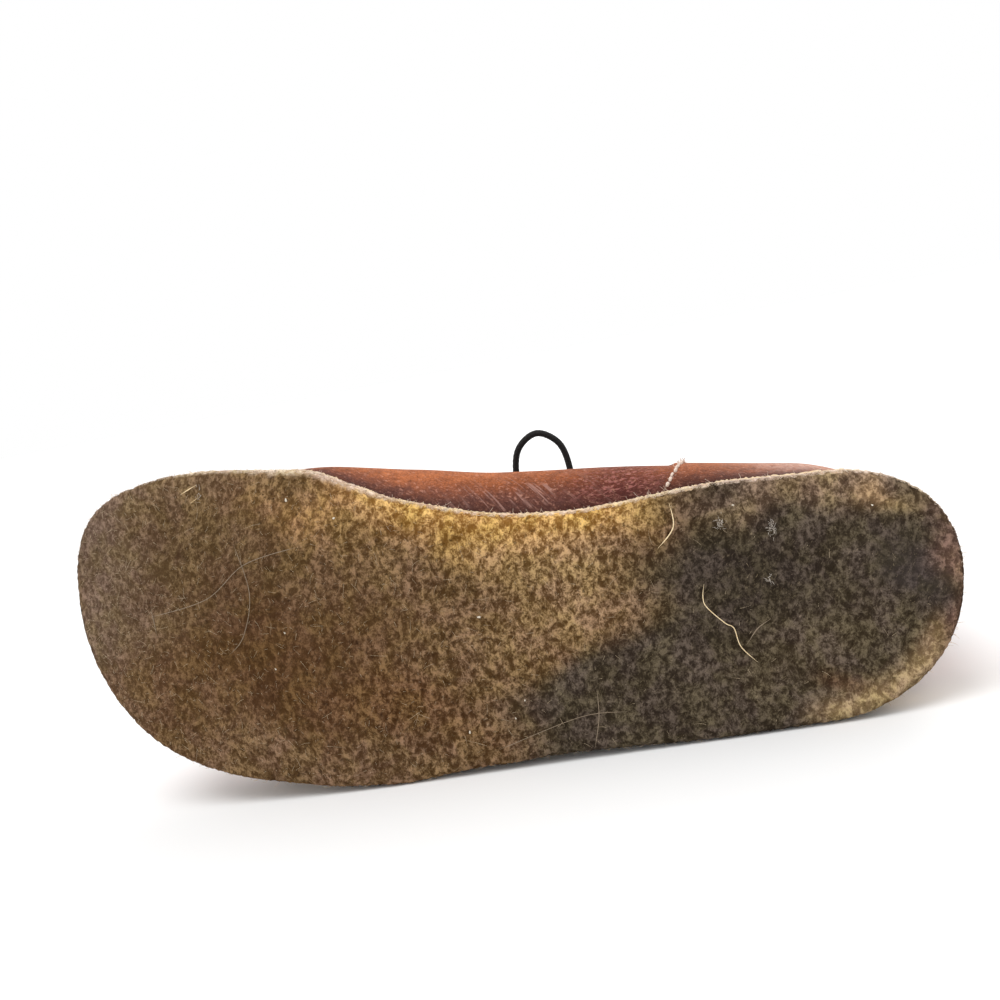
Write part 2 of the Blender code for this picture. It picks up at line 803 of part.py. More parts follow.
def free_laces(collection, knot):
    """Both bow loops and both ends with their tips, in the floor's frame, from the knot's middle."""
    made = []
    for name, route in (("lace_loop_medial", LOOP_MEDIAL), ("lace_loop_lateral", LOOP_LATERAL)):
        path = smooth_path([knot + Vector(p) for p in route])
        made.append(tube(name, path, LACE_RADIUS, collection, "black_lace"))
    for name, route in (("toeward", END_TOEWARD), ("heelward", END_HEELWARD)):
        path = smooth_path([knot + Vector(p) for p in route])
        made.append(tube("lace_end_" + name, path, LACE_RADIUS, collection, "black_lace"))
        onward = (path[-1] - path[-2]).normalized()
        onward.z = 0
        tip = [path[-1] + onward * distance for distance in (GAP, GAP + TIP_LENGTH)]
        made.append(tube("lace_tip_" + name, tip, TIP_RADIUS, collection, "lace_tip"))
    return made


# Laying the boot down


def volume_and_centre(mesh):
    mesh.calc_loop_triangles()
    volume, moment = 0.0, Vector((0, 0, 0))
    for triangle in mesh.loop_triangles:
        a, b, c = (mesh.vertices[i].co for i in triangle.vertices)
        part = a.dot(b.cross(c)) / 6
        volume += part
        moment += part * (a + b + c) / 4
    return volume, moment / volume


def resting_matrix(pieces):
    """Turns the boot onto its lateral side: the hull's face under its centre of mass goes to the floor."""
    meshes = [evaluated_mesh(piece) for piece in pieces]
    weighed = [volume_and_centre(mesh) for mesh in meshes]
    balance = sum((v * c for v, c in weighed), Vector((0, 0, 0))) / sum(v for v, _ in weighed)
    points = [v.co.copy() for mesh in meshes for v in mesh.vertices]
    bm = bmesh.new()
    for point in points:
        bm.verts.new(point)
    bmesh.ops.convex_hull(bm, input=bm.verts)
    bm.normal_update()
    under = [
        face.normal.copy()
        for face in bm.faces
        if face.normal.y < -0.8
        and intersect_ray_tri(*(v.co for v in face.verts[:3]), face.normal, balance)
    ]
    bm.free()
    down = min(under, key=lambda normal: normal.y)
    heelward = Vector((-1, 0, 0))
    heelward = (heelward - down * heelward.dot(down)).normalized()
    away = (-down).cross(heelward)
    turn = Matrix((heelward, away, -down)).to_4x4()
    placed = [turn @ point for point in points]
    low = Vector(min(p[i] for p in placed) for i in range(3))
    high = Vector(max(p[i] for p in placed) for i in range(3))
    return Matrix.Translation((-(low.x + high.x) / 2, -(low.y + high.y) / 2, -low.z)) @ turn


def main():
    clear_scene()
    boot = bpy.data.collections.new("chukka_boot")
    cutters = bpy.data.collections.new("cutters")
    for collection in (boot, cutters):
        bpy.context.scene.collection.children.link(collection)
    body = [outsole(boot), midsole(boot), upper(boot, cutters)]
    pieces = body + [insole(boot), tongue(boot)]
    pieces += [lace_bar(boot), lace_cross(boot, cutters), lace_knot(boot, cutters)]
    bpy.context.view_layer.update()
    lying = bpy.data.objects.new("boot_lying", None)
    boot.objects.link(lying)
    lying.matrix_world = resting_matrix(body + pieces[4:5])
    for piece in pieces + list(cutters.objects):
        piece.parent = lying
    free_laces(boot, lying.matrix_world @ knot_place())


main()
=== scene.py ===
"""Looks of a crepe-soled chukka boot for the right foot, lying on its lateral side.

Pieces are made in the boot's own frame (x heel to toe, y towards the medial side, z up from
the tread) and laid down by the mount on its tread. Lengths are metres unless a name says mm.
"""

import json
import math
from collections import namedtuple

import bmesh
import bpy
import numpy as np
from mathutils import Matrix, Vector, kdtree
from mathutils.noise import turbulence


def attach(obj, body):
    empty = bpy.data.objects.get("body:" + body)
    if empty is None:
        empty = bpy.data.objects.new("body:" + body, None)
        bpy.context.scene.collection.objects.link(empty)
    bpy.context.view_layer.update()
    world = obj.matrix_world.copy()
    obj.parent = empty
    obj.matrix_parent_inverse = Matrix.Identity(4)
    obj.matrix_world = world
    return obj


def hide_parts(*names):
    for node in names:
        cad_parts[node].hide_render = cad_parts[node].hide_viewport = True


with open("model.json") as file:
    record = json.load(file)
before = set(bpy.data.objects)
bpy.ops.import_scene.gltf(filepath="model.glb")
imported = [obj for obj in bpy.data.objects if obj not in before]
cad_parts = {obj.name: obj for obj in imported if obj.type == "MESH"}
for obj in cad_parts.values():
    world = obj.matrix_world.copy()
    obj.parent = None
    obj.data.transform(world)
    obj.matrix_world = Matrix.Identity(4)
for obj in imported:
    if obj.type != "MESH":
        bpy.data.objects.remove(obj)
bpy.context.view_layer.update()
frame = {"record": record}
MM = 0.001
rng = np.random.default_rng(11)

# Sizes shared with the solids
LENGTH = 0.300
BALL_WIDTH = 0.108
INSTEP_HEIGHT = 0.100
COLLAR_HEIGHT = 0.120
GAP = 0.0003
OUTSOLE_THICKNESS = 0.008
MIDSOLE_FOREFOOT = 0.0045
MIDSOLE_HEEL = 0.0125
MIDSOLE_INSET = 0.0007
TOE_SPRING = 0.014
SPRING_START = 0.64 * LENGTH
EDGE_ROUND = 0.0028
HEEL_WEAR = 0.0032
HEEL_WEAR_REACH = 0.032
HEEL_ROUND = 0.15 * LENGTH
HEEL_POWER = 2.25
TOE_ROUND = 0.25 * LENGTH
TOE_POWER = 2.4
LAST_INSET = 0.005
GIRTH_HEIGHT = 0.045
ANKLE_HEIGHT = 0.110
BACK_ROUND = 0.042
BACK_POWER = 2.1
ARCH_POWER = 2.4
ARCH_ROOT = 2.2
TOE_BOX_ROUND = 0.062
TOE_BOX_POWER = 2.1
VAMP_WALL = 0.0019
QUARTER_WALL = 0.0029
INSOLE_THICKNESS = 0.003
INSOLE_DISH = 0.0012
INSOLE_CLEARANCE = 0.0012
TONGUE_WALL = 0.0018
TONGUE_CLEARANCE = 0.0011
TONGUE_HALF_WIDTH = 0.026
TONGUE_TOP_HALF_WIDTH = 0.030
LACE_RADIUS = 0.0014
EYELET_RADIUS = 0.0022
EYELET_SETBACK = 0.0085
EYELET_SECTIONS = (7.0, 10.0)
KNOT_SECTION = 10.35
KNOT_RADII = (0.0046, 0.0058, 0.0036)
TIP_LENGTH = 0.014
TIP_RADIUS = 0.0013
MOUNT_STATION = 0.1

Outline = namedtuple("Outline", "station middle half_width")
Breadth = namedtuple("Breadth", "station medial lateral ankle_medial ankle_lateral ridge")
Ridge = namedtuple("Ridge", "station rise")
Back = namedtuple("Back", "height setback")
Section = namedtuple("Section", "name top bottom_run bow throat")

SOLE_OUTLINE = (
    Outline(0.00, 0.096, 0.367),
    Outline(0.15, 0.047, 0.370),
    Outline(0.25, 0.020, 0.381),
    Outline(0.40, -0.029, 0.367),
    Outline(0.50, -0.047, 0.390),
    Outline(0.60, -0.045, 0.444),
    Outline(0.65, -0.023, 0.475),
    Outline(0.70, 0.001, 0.500),
    Outline(0.78, 0.015, 0.497),
    Outline(0.90, 0.050, 0.497),
    Outline(1.00, 0.126, 0.497),
)
LAST_BREADTH = (
    Breadth(0.00, 0.350, -0.262, 0.350, -0.270, 0.045),
    Breadth(0.20, 0.396, -0.285, 0.345, -0.275, 0.042),
    Breadth(0.35, 0.419, -0.325, 0.345, -0.285, 0.038),
    Breadth(0.50, 0.435, -0.392, 0.350, -0.300, 0.025),
    Breadth(0.60, 0.475, -0.438, 0.370, -0.350, 0.028),
    Breadth(0.70, 0.502, -0.452, 0.400, -0.400, 0.040),
    Breadth(0.78, 0.486, -0.437, 0.440, -0.420, 0.050),
    Breadth(0.90, 0.500, -0.402, 0.500, -0.402, 0.070),
    Breadth(1.00, 0.576, -0.326, 0.576, -0.326, 0.120),
)
LAST_RIDGE = (
    Ridge(0.30, 2.60),
    Ridge(0.36, 1.62),
    Ridge(0.40, 1.25),
    Ridge(0.43, 1.05),
    Ridge(0.48, 0.905),
    Ridge(0.53, 0.790),
    Ridge(0.57, 0.712),
    Ridge(0.64, 0.615),
    Ridge(0.72, 0.520),
    Ridge(0.80, 0.450),
    Ridge(0.87, 0.410),
    Ridge(1.00, 0.370),
)
LAST_BACK = (
    Back(0.17, 0.0220),
    Back(0.30, 0.0135),
    Back(0.42, 0.0120),
    Back(0.60, 0.0205),
    Back(0.80, 0.0400),
    Back(1.00, 0.0570),
    Back(1.15, 0.0650),
)
HEEL_RUN = 0.958
SECTIONS = (
    Section("toe", 0.980, 0.000, 0.000, 0.0025),
    Section("toe_cap", 0.947, 0.033, 0.000, 0.0070),
    Section("toe_box", 0.873, 0.107, 0.000, 0.0100),
    Section("ball", 0.773, 0.230, 0.002, 0.0105),
    Section("joint", 0.680, 0.380, 0.010, 0.0105),
    Section("waist", 0.600, 0.537, 0.022, 0.0105),
    Section("seam", 0.533, 0.670, 0.039, 0.0105),
    Section("counter", 0.503, 0.830, 0.000, 0.0110),
    Section("heel", 0.480, HEEL_RUN, 0.000, 0.0115),
    Section("heel_curve", 0.460, 1.060, 0.000, 0.0120),
    Section("ankle", 0.443, 1.175, 0.000, 0.0125),
    Section("collar", 0.430, 1.283, -0.007, 0.0130),
    Section("above", 0.418, 1.315, 0.000, 0.0135),
)
SEAM = 6
HEEL = 8
COLLAR = 11

# Lace routes, as offsets in the floor's frame from the middle of the knot
LOOP_MEDIAL = (
    (0.0015, 0.0012, 0.0062),
    (-0.0035, 0.0020, 0.0145),
    (-0.0090, 0.0022, 0.0250),
    (-0.0115, 0.0015, 0.0365),
    (-0.0085, 0.0005, 0.0485),
    (0.0005, 0.0000, 0.0540),
    (0.0092, 0.0005, 0.0480),
    (0.0115, 0.0015, 0.0360),
    (0.0095, 0.0025, 0.0250),
    (0.0062, 0.0030, 0.0145),
    (0.0050, 0.0030, 0.0062),
)
LOOP_LATERAL = (
    (-0.0015, 0.0015, -0.0062),
    (-0.0045, 0.0045, -0.0130),
    (-0.0090, 0.0070, -0.0220),
    (-0.0095, 0.0085, -0.0310),
    (-0.0020, 0.0090, -0.0370),
    (0.0065, 0.0085, -0.0320),
    (0.0080, 0.0070, -0.0230),
    (0.0050, 0.0045, -0.0130),
    (0.0035, 0.0030, -0.0062),
)
END_TOEWARD = (
    (-0.0062, 0.0015, -0.0020),
    (-0.0120, 0.0060, -0.0080),
    (-0.0180, 0.0100, -0.0200),
    (-0.0215, 0.0130, -0.0320),
    (-0.0240, 0.0160, -0.0400),
    (-0.0310, 0.0210, -0.0429),
    (-0.0430, 0.0250, -0.0432),
    (-0.0560, 0.0240, -0.0432),
    (-0.0680, 0.0190, -0.0432),
)
END_HEELWARD = (
    (0.0062, 0.0020, -0.0020),
    (0.0110, 0.0075, -0.0070),
    (0.0150, 0.0125, -0.0180),
    (0.0170, 0.0160, -0.0300),
    (0.0190, 0.0190, -0.0390),
    (0.0250, 0.0230, -0.0429),
    (0.0370, 0.0260, -0.0432),
    (0.0500, 0.0250, -0.0432),
    (0.0620, 0.0200, -0.0432),
)

# Colour zones of the tread: middle and reach in mm, then the crumb's light and dark in sRGB.
# Wear goes from 0, open crumb, to 1, rubbed smooth
Zone = namedtuple("Zone", "name x y reach_x reach_y strength light dark wear")
BASE_LIGHT, BASE_DARK = (148, 120, 90), (67, 46, 25)
FORE_SOFTNESS = 0.1
ZONES = (
    Zone("toe_edge", 292, 12, 16, 60, 0.9, (146, 126, 109), (78, 61, 48), 0.35),
    Zone("toe", 268, 22, 34, 50, 0.8, (140, 118, 96), (70, 50, 31), 0.35),
    Zone("toe_inner", 280, 42, 13, 14, 0.6, (154, 134, 116), (84, 67, 54), 0.3),
    Zone("toe_low", 262, -25, 30, 26, 0.7, (130, 101, 73), (68, 45, 24), 0.3),
    Zone("toe_pale", 278, -12, 10, 14, 0.5, (144, 118, 92), (76, 56, 38), 0.2),
    Zone("fore_inner", 256, 46, 26, 8, 0.6, (152, 127, 98), (82, 61, 40), 0.2),
    Zone("toe_middle", 250, 10, 18, 12, 0.6, (114, 89, 65), (60, 42, 24), 0.3),
    Zone("olive", 240, 30, 30, 16, 0.8, (129, 105, 78), (63, 44, 25), 0.25),
    Zone("olive_back", 211, 29, 14, 10, 0.6, (126, 100, 70), (62, 43, 23), 0.1),
    Zone("ball_rust", 222, -8, 42, 26, 0.9, (111, 82, 55), (60, 38, 19), 0.25),
    Zone("mid_rust", 170, -30, 18, 14, 0.6, (135, 102, 71), (65, 40, 18), 0.0),
    Zone("low_rust", 190, -26, 26, 12, 0.7, (124, 92, 63), (62, 38, 18), 0.0),
    Zone("ball_low", 215, -46, 60, 9, 0.6, (143, 116, 92), (68, 46, 26), 0.0),
    Zone("inner", 198, 44, 26, 9, 0.8, (194, 153, 105), (98, 68, 37), 0.1),
    Zone("gold", 140, 32, 42, 10, 0.75, (214, 172, 112), (104, 70, 30), 0.0),
    Zone("gold_heelward", 110, 33, 20, 10, 0.9, (208, 168, 118), (102, 70, 32), 0.0),
    Zone("tan", 128, 12, 26, 20, 0.95, (181, 150, 112), (77, 53, 27), 0.0),
    Zone("tan_heelward", 105, 20, 12, 14, 0.6, (167, 138, 108), (68, 47, 27), 0.0),
)
HEEL_ZONES = (
    Zone("heel_core", 72, 17, 25, 22, 0.8, (79, 70, 61), (38, 32, 27), 0.0),
    Zone("heel_low", 46, -14, 24, 13, 0.6, (112, 99, 82), (52, 41, 29), 0.0),
    Zone("heel_red", 28.5, -24, 10, 5, 0.7, (112, 82, 64), (58, 37, 25), 0.2),
    Zone("heel_spot", 19, 16, 12, 11, 0.9, (88, 79, 73), (48, 43, 39), 0.5),
    Zone("heel_inner", 40, 40, 34, 7, 0.9, (172, 147, 119), (75, 57, 41), 0.2),
    Zone("heel_corner", 20, 37, 7, 4, 0.7, (206, 174, 126), (116, 90, 60), 0.3),
    Zone("heel_back", 3, 9, 7, 28, 0.85, (160, 128, 110), (80, 59, 49), 0.4),
)

# The dark heel: its front edge on the tread in mm, which runs forward on the outer side, and its colours
STAIN_FRONT, STAIN_FORWARD, STAIN_BACKWARD, STAIN_SOFTNESS = 99.0, 42.0, 18.0, 28.0
STAIN_BEND, STAIN_BEND_RUN = 4.0, 32.0
STAIN_INNER_BEND, STAIN_INNER_RUN = 12.0, 22.0
STAIN_LIGHT, STAIN_DARK = (101, 90, 77), (44, 36, 28)

# The rubbed crescent inside the heel's outer edge: distance from the edge and width in mm
CRESCENT_INSET, CRESCENT_WIDTH = 4.2, 4.8
CRESCENT_LIGHT, CRESCENT_DARK = (198, 173, 134), (108, 85, 60)

# The pale rim of the inner edge: its colours, and middle and reach of its torn stretch in mm
RIM_LIGHT, RIM_DARK = (250, 234, 216), (206, 176, 146)
TORN_MIDDLE, TORN_REACH = 212.0, 28.0

# The golden band along the inner edge: width in mm and colours
GOLD_WIDTH = 8.0
GOLD_LIGHT, GOLD_DARK = (252, 206, 130), (134, 90, 36)

# Hairs and specks caught in the crumb: points on the tread in mm, thickness and colour
Hair = namedtuple("Hair", "name points radius_mm colour")
HAIRS = (
    Hair("straw", ((89.4, 38.3), (88.5, 30.5), (93.6, 24.0)), 0.20, "straw"),
    Hair(
        "long",
        ((79.7, 11.9), (80.2, 7.7), (79.1, 4.4), (73.6, -0.9), (70.9, -2.6), (69.0, -8.5), (63.9, -13.8)),
        0.15,
        "straw",
    ),
    Hair("crossing", ((67.1, -7.9), (63.6, -3.0), (59.3, 0.2)), 0.15, "grey_hair"),
    Hair("outer", ((115.5, -21.4), (115.3, -30.8), (117.2, -41.4)), 0.13, "grey_hair"),
    Hair("outer_long", ((148.6, -40.9), (121.5, -30.6), (105.8, -28.9)), 0.10, "grey_hair"),
    Hair("toe_along", ((269.3, 5.9), (247.2, 12.1), (232.4, 23.6), (213.2, 29.1)), 0.12, "grey_hair"),
    Hair("toe_across", ((235.4, 30.8), (231.1, 14.0), (234.6, -0.8), (240.0, -7.0)), 0.12, "grey_hair"),
    Hair("toe_mark", ((253.7, 48.1), (250.8, 49.7), (247.3, 51.3)), 0.22, "straw"),
    Hair("toe_mark_low", ((250.1, 45.2), (247.3, 46.9)), 0.20, "straw"),
    Hair("toe_short", ((269.1, 9.5), (268.7, 4.8), (267.6, -0.9)), 0.14, "grey_hair"),
)
SPECKS = (
    (219.6, 0.1), (223.9, -12.3), (152.8, 3.6), (158.3, -35.0), (139.3, -24.6),
    (142.7, -30.6), (199.3, 38.3), (215.4, 45.0), (69.6, 36.7), (27.3, 34.8),
)

# Tufts of lint on the tread: middle and reach in mm, number of fibres
LINT = ((58, 29, 2.2, 40), (74, 31, 1.8, 30), (59, 13, 1.2, 14), (247, 48, 1.8, 10))

# Creases of the leather: sections at the ridge and at the low end, reach of share, depth, width.
# Side 0 runs from the medial side over the ridge to the lateral side
Crease = namedtuple("Crease", "name side top low first last depth width")
CREASES = (
    Crease("flex_front", 0, 3.05, 3.40, 0.00, 0.55, 0.0006, 0.0030),
    Crease("flex_main", 0, 3.62, 3.95, 0.00, 0.54, 0.0010, 0.0036),
    Crease("flex_second", 0, 4.20, 4.15, 0.00, 0.50, 0.0008, 0.0034),
    Crease("flex_back", 0, 4.80, 4.45, 0.00, 0.45, 0.0005, 0.0030),
    Crease("flex_short_medial", 1, 3.95, 3.90, 0.14, 0.44, 0.0005, 0.0024),
    Crease("flex_short_lateral", -1, 3.95, 3.90, 0.25, 0.60, 0.0006, 0.0024),
    Crease("seam_front_lateral", -1, 5.60, 5.25, 0.60, 0.95, 0.0005, 0.0020),
    Crease("ankle_medial", 1, 8.60, 8.10, 0.35, 0.75, 0.0007, 0.0055),
    Crease("ankle_lateral", -1, 8.60, 8.10, 0.35, 0.75, 0.0007, 0.0055),
    Crease("ankle_low_medial", 1, 7.90, 7.55, 0.30, 0.65, 0.0005, 0.0050),
    Crease("ankle_low_lateral", -1, 7.90, 7.55, 0.30, 0.65, 0.0005, 0.0050),
)


# Curves and sole functions, on arrays


def hermite(t, start, end, leaving, arriving):
    """A cubic from start to end with a tangent at both; t runs from 0 to 1."""
    return (
        start * (1 + 2 * t) * (1 - t) ** 2
        + leaving * t * (1 - t) ** 2
        + end * t * t * (3 - 2 * t)
        - arriving * t * t * (1 - t)
    )


def smooth_curve(rows, column, key="station"):
    """A monotone cubic through one column of a table, as a function of its key column."""
    x = np.array([getattr(row, key) for row in rows])
    y = np.array([getattr(row, column) for row in rows])
    step = np.diff(x)
    slope = np.diff(y) / step
    tangent = np.concatenate([slope[:1], np.zeros(len(x) - 2), slope[-1:]])
    for i in range(1, len(x) - 1):
        if slope[i - 1] * slope[i] > 0:
            before, after = 2 * step[i] + step[i - 1], step[i] + 2 * step[i - 1]
            tangent[i] = (before + after) / (before / slope[i - 1] + after / slope[i])

    def value(at):
        at = np.clip(at, x[0], x[-1])
        i = np.clip(np.searchsorted(x, at, side="right") - 1, 0, len(x) - 2)
        t = (at - x[i]) / step[i]
        return hermite(t, y[i], y[i + 1], tangent[i] * step[i], tangent[i + 1] * step[i])

    return value


def rounded(share, power, root=None):
    return (1 - np.clip(share, 0.0, 1.0) ** power) ** (1 / (root or power))


def eased(share):
    share = np.clip(share, 0.0, 1.0)
    return share * share * (3 - 2 * share)


def bell(value, middle, reach):
    """1 at the middle, and nearly 0 from twice the reach on."""
    return np.exp(-(((value - middle) / reach) ** 2))


def unit_rows(vectors):
    return vectors / np.linalg.norm(vectors, axis=1)[:, None]


sole_middle = smooth_curve(SOLE_OUTLINE, "middle")
sole_half_width = smooth_curve(SOLE_OUTLINE, "half_width")
girth_line = {1: smooth_curve(LAST_BREADTH, "medial"), -1: smooth_curve(LAST_BREADTH, "lateral")}
ankle_line = {
    1: smooth_curve(LAST_BREADTH, "ankle_medial"),
    -1: smooth_curve(LAST_BREADTH, "ankle_lateral"),
}
ridge_line = smooth_curve(LAST_BREADTH, "ridge")
ridge_rise = smooth_curve(LAST_RIDGE, "rise")
back_setback = smooth_curve(LAST_BACK, "setback", key="height")
Numbered = namedtuple("Numbered", ("number",) + Section._fields)
NUMBERED = [Numbered(i, *row) for i, row in enumerate(SECTIONS)]
section_top = smooth_curve(NUMBERED, "top", key="number")
section_run = smooth_curve(NUMBERED, "bottom_run", key="number")
section_bow = smooth_curve(NUMBERED, "bow", key="number")
section_throat = smooth_curve(NUMBERED, "throat", key="number")


def sole_edge(x, side, inset=0.0):
    heel = rounded((HEEL_ROUND - x) / (HEEL_ROUND - inset), HEEL_POWER)
    toe = rounded((x - LENGTH + TOE_ROUND) / (TOE_ROUND - inset), TOE_POWER)
    half = sole_half_width(x / LENGTH) * BALL_WIDTH - inset
    return sole_middle(x / LENGTH) * BALL_WIDTH + side * half * heel * toe


def toe_spring(x):
    return TOE_SPRING * np.maximum(0.0, (x - SPRING_START) / (LENGTH - SPRING_START)) ** 2


def tread(x, y):
    outward = sole_middle(0.0) * BALL_WIDTH - y
    from_corner = x + 0.35 * np.maximum(0.0, BALL_WIDTH * sole_half_width(0.0) - outward)
    return toe_spring(x) + HEEL_WEAR * (1 - eased(from_corner / HEEL_WEAR_REACH))


def outsole_top(x):
    return toe_spring(x) + OUTSOLE_THICKNESS


def midsole_top(x):
    wedge = 1 - eased((x / LENGTH - 0.22) / 0.46)
    return outsole_top(x) + GAP + MIDSOLE_FOREFOOT + (MIDSOLE_HEEL - MIDSOLE_FOREFOOT) * wedge


def seat(x):
    return midsole_top(x) + GAP


# Last functions, on arrays


def ridge(x):
    toe = rounded((x - LENGTH + TOE_BOX_ROUND) / (TOE_BOX_ROUND - LAST_INSET), TOE_BOX_POWER)
    return seat(x) + ridge_rise(x / LENGTH) * INSTEP_HEIGHT * toe


def back(z):
    return back_setback(z / COLLAR_HEIGHT) * LENGTH


def centre(x, z):
    share = np.clip((z - seat(x)) / (ridge(x) - seat(x) + GAP), 0.0, 1.0)
    low, high = sole_middle(x / LENGTH), ridge_line(x / LENGTH)
    return BALL_WIDTH * (low + (high - low) * share)


def last_side(x, z, side):
    """y of the last's surface at points of the side view."""
    feather = sole_middle(x / LENGTH) * BALL_WIDTH
    feather = feather + side * (sole_half_width(x / LENGTH) * BALL_WIDTH - LAST_INSET)
    girth = girth_line[side](x / LENGTH) * BALL_WIDTH
    ankle = ankle_line[side](x / LENGTH) * BALL_WIDTH
    swell = np.clip((z - seat(x)) / (GIRTH_HEIGHT - seat(x)), 0.0, 1.0)
    low = feather + (girth - feather) * np.sin(np.pi / 2 * swell)
    high = girth + (ankle - girth) * eased((z - GIRTH_HEIGHT) / (ANKLE_HEIGHT - GIRTH_HEIGHT))
    y = np.where(z < GIRTH_HEIGHT, low, high)
    over = rounded((z - seat(x)) / (ridge(x) - seat(x) + 1e-9), ARCH_POWER, ARCH_ROOT)
    behind = rounded(1 - (x - back(z)) / BACK_ROUND, BACK_POWER)
    before = rounded((x - LENGTH + TOE_ROUND) / (TOE_ROUND - LAST_INSET), TOE_POWER)
    middle = centre(x, z)
    return middle + (y - middle) * over * behind * before


FIRST_X = float(section_top(0)) * LENGTH
TOE_HALF = float(rounded((FIRST_X - LENGTH + TOE_ROUND) / (TOE_ROUND - LAST_INSET), TOE_POWER))


def section_ends(number):
    """Both ends of a section in the side view. Numbers from 0 to -1 close the toe in front of the first."""
    if number < 0:
        half = TOE_HALF * (1 + number)
        x = LENGTH - TOE_ROUND + (TOE_ROUND - LAST_INSET) * (1 - half**TOE_POWER) ** (1 / TOE_POWER)
        return np.array([x, ridge(x)]), np.array([x, seat(x)])
    top_x = float(section_top(number)) * LENGTH
    run = float(section_run(number))
    if run <= HEEL_RUN:
        low_x = FIRST_X - run * LENGTH
        low = np.array([low_x, seat(low_x)])
    else:
        low_z = seat(FIRST_X - HEEL_RUN * LENGTH) + (run - HEEL_RUN) * LENGTH
        low = np.array([back(low_z), low_z])
    return np.array([top_x, ridge(top_x)]), low


def bowed(number, share):
    top, low = section_ends(number)
    along = low - top
    across = np.array([along[1], -along[0]]) / np.linalg.norm(along)
    bow = section_bow(number) * 4 * share * (1 - share)
    return top + np.outer(share, along) + np.outer(bow, across)


def side_view(number, share):
    if number <= SEAM:
        return bowed(number, share)
    blend = (number - SEAM) / (COLLAR - SEAM)
    place = bowed(SEAM, share) * (1 - blend) + bowed(COLLAR, share) * blend
    ends = zip(section_ends(number), section_ends(SEAM), section_ends(COLLAR))
    top, low = (end - seam * (1 - blend) - collar * blend for end, seam, collar in ends)
    return place + np.outer(1 - share, top) + np.outer(share, low)


def section_points(number, side, share):
    """Points of a section: share runs from the ridge, 0, to the feather edge or back line, 1."""
    share = np.atleast_1d(np.asarray(share, float))
    x, z = side_view(number, share).T
    y = last_side(x, z, side)
    on_middle = share == 0
    if section_run(max(number, 0)) >= HEEL_RUN:
        on_middle = on_middle | (share == 1)
    return np.stack([x, np.where(on_middle, centre(x, z), y), z], axis=1)


TRIAL_SHARES = 0.6 * np.linspace(0, 1, 600) ** 2


def share_at_breadth(number, side, breadth):
    y = section_points(number, side, TRIAL_SHARES)[:, 1]
    away = np.maximum.accumulate(np.abs(y - y[0]))
    return np.interp(breadth, away, TRIAL_SHARES)


def beside_ridge(number, breadth):
    """Points of the last's surface at breadths from the ridge; medial is positive."""
    breadth = np.atleast_1d(np.asarray(breadth, float))
    points = np.empty((len(breadth), 3))
    for side in (1, -1):
        chosen = breadth >= 0 if side == 1 else breadth < 0
        if chosen.any():
            shares = share_at_breadth(number, side, np.abs(breadth[chosen]))
            points[chosen] = section_points(number, side, shares)
    return points


def lifted(number, breadth, lift):
    """Points beside the ridge, lifted along the surface's normal."""
    step_n, step_b = 0.05, 0.0004
    along = beside_ridge(number - step_n, breadth) - beside_ridge(number + step_n, breadth)
    left, right = (beside_ridge(number, np.add(breadth, step)) for step in (step_b, -step_b))
    return beside_ridge(number, breadth) + unit_rows(np.cross(along, left - right)) * lift


def wall_point(number, side, share, lift):
    """A point of the upper's side, lifted along the surface's normal, and that normal."""
    step_n, step_s = 0.04, 0.004
    along = section_points(number - step_n, side, share) - section_points(number + step_n, side, share)
    down = section_points(number, side, share + step_s) - section_points(number, side, share - step_s)
    normal = unit_rows(side * np.cross(along, down))
    return (section_points(number, side, share) + normal * lift)[0], normal[0]


# Laying down


def lying_matrix():
    """The boot's place on the floor, from the mount on its tread."""
    mount = frame["record"]["mounts"][0]
    up = -Vector(mount["axis"]).normalized()
    toeward = Vector((up.z, 0, -up.x)).normalized()
    medial = up.cross(toeward)
    place = Matrix((toeward, medial, up)).transposed().to_4x4()
    place.translation = Vector(mount["pos_m"]) - MOUNT_STATION * toeward
    return place


LYING = lying_matrix()


# Node trees


def linear(colour):
    """sRGB from 0 to 255 as linear RGBA."""
    share = np.array(colour, float) / 255
    value = np.where(share <= 0.04045, share / 12.92, ((share + 0.055) / 1.055) ** 2.4)
    return (*(float(v) for v in value), 1.0)


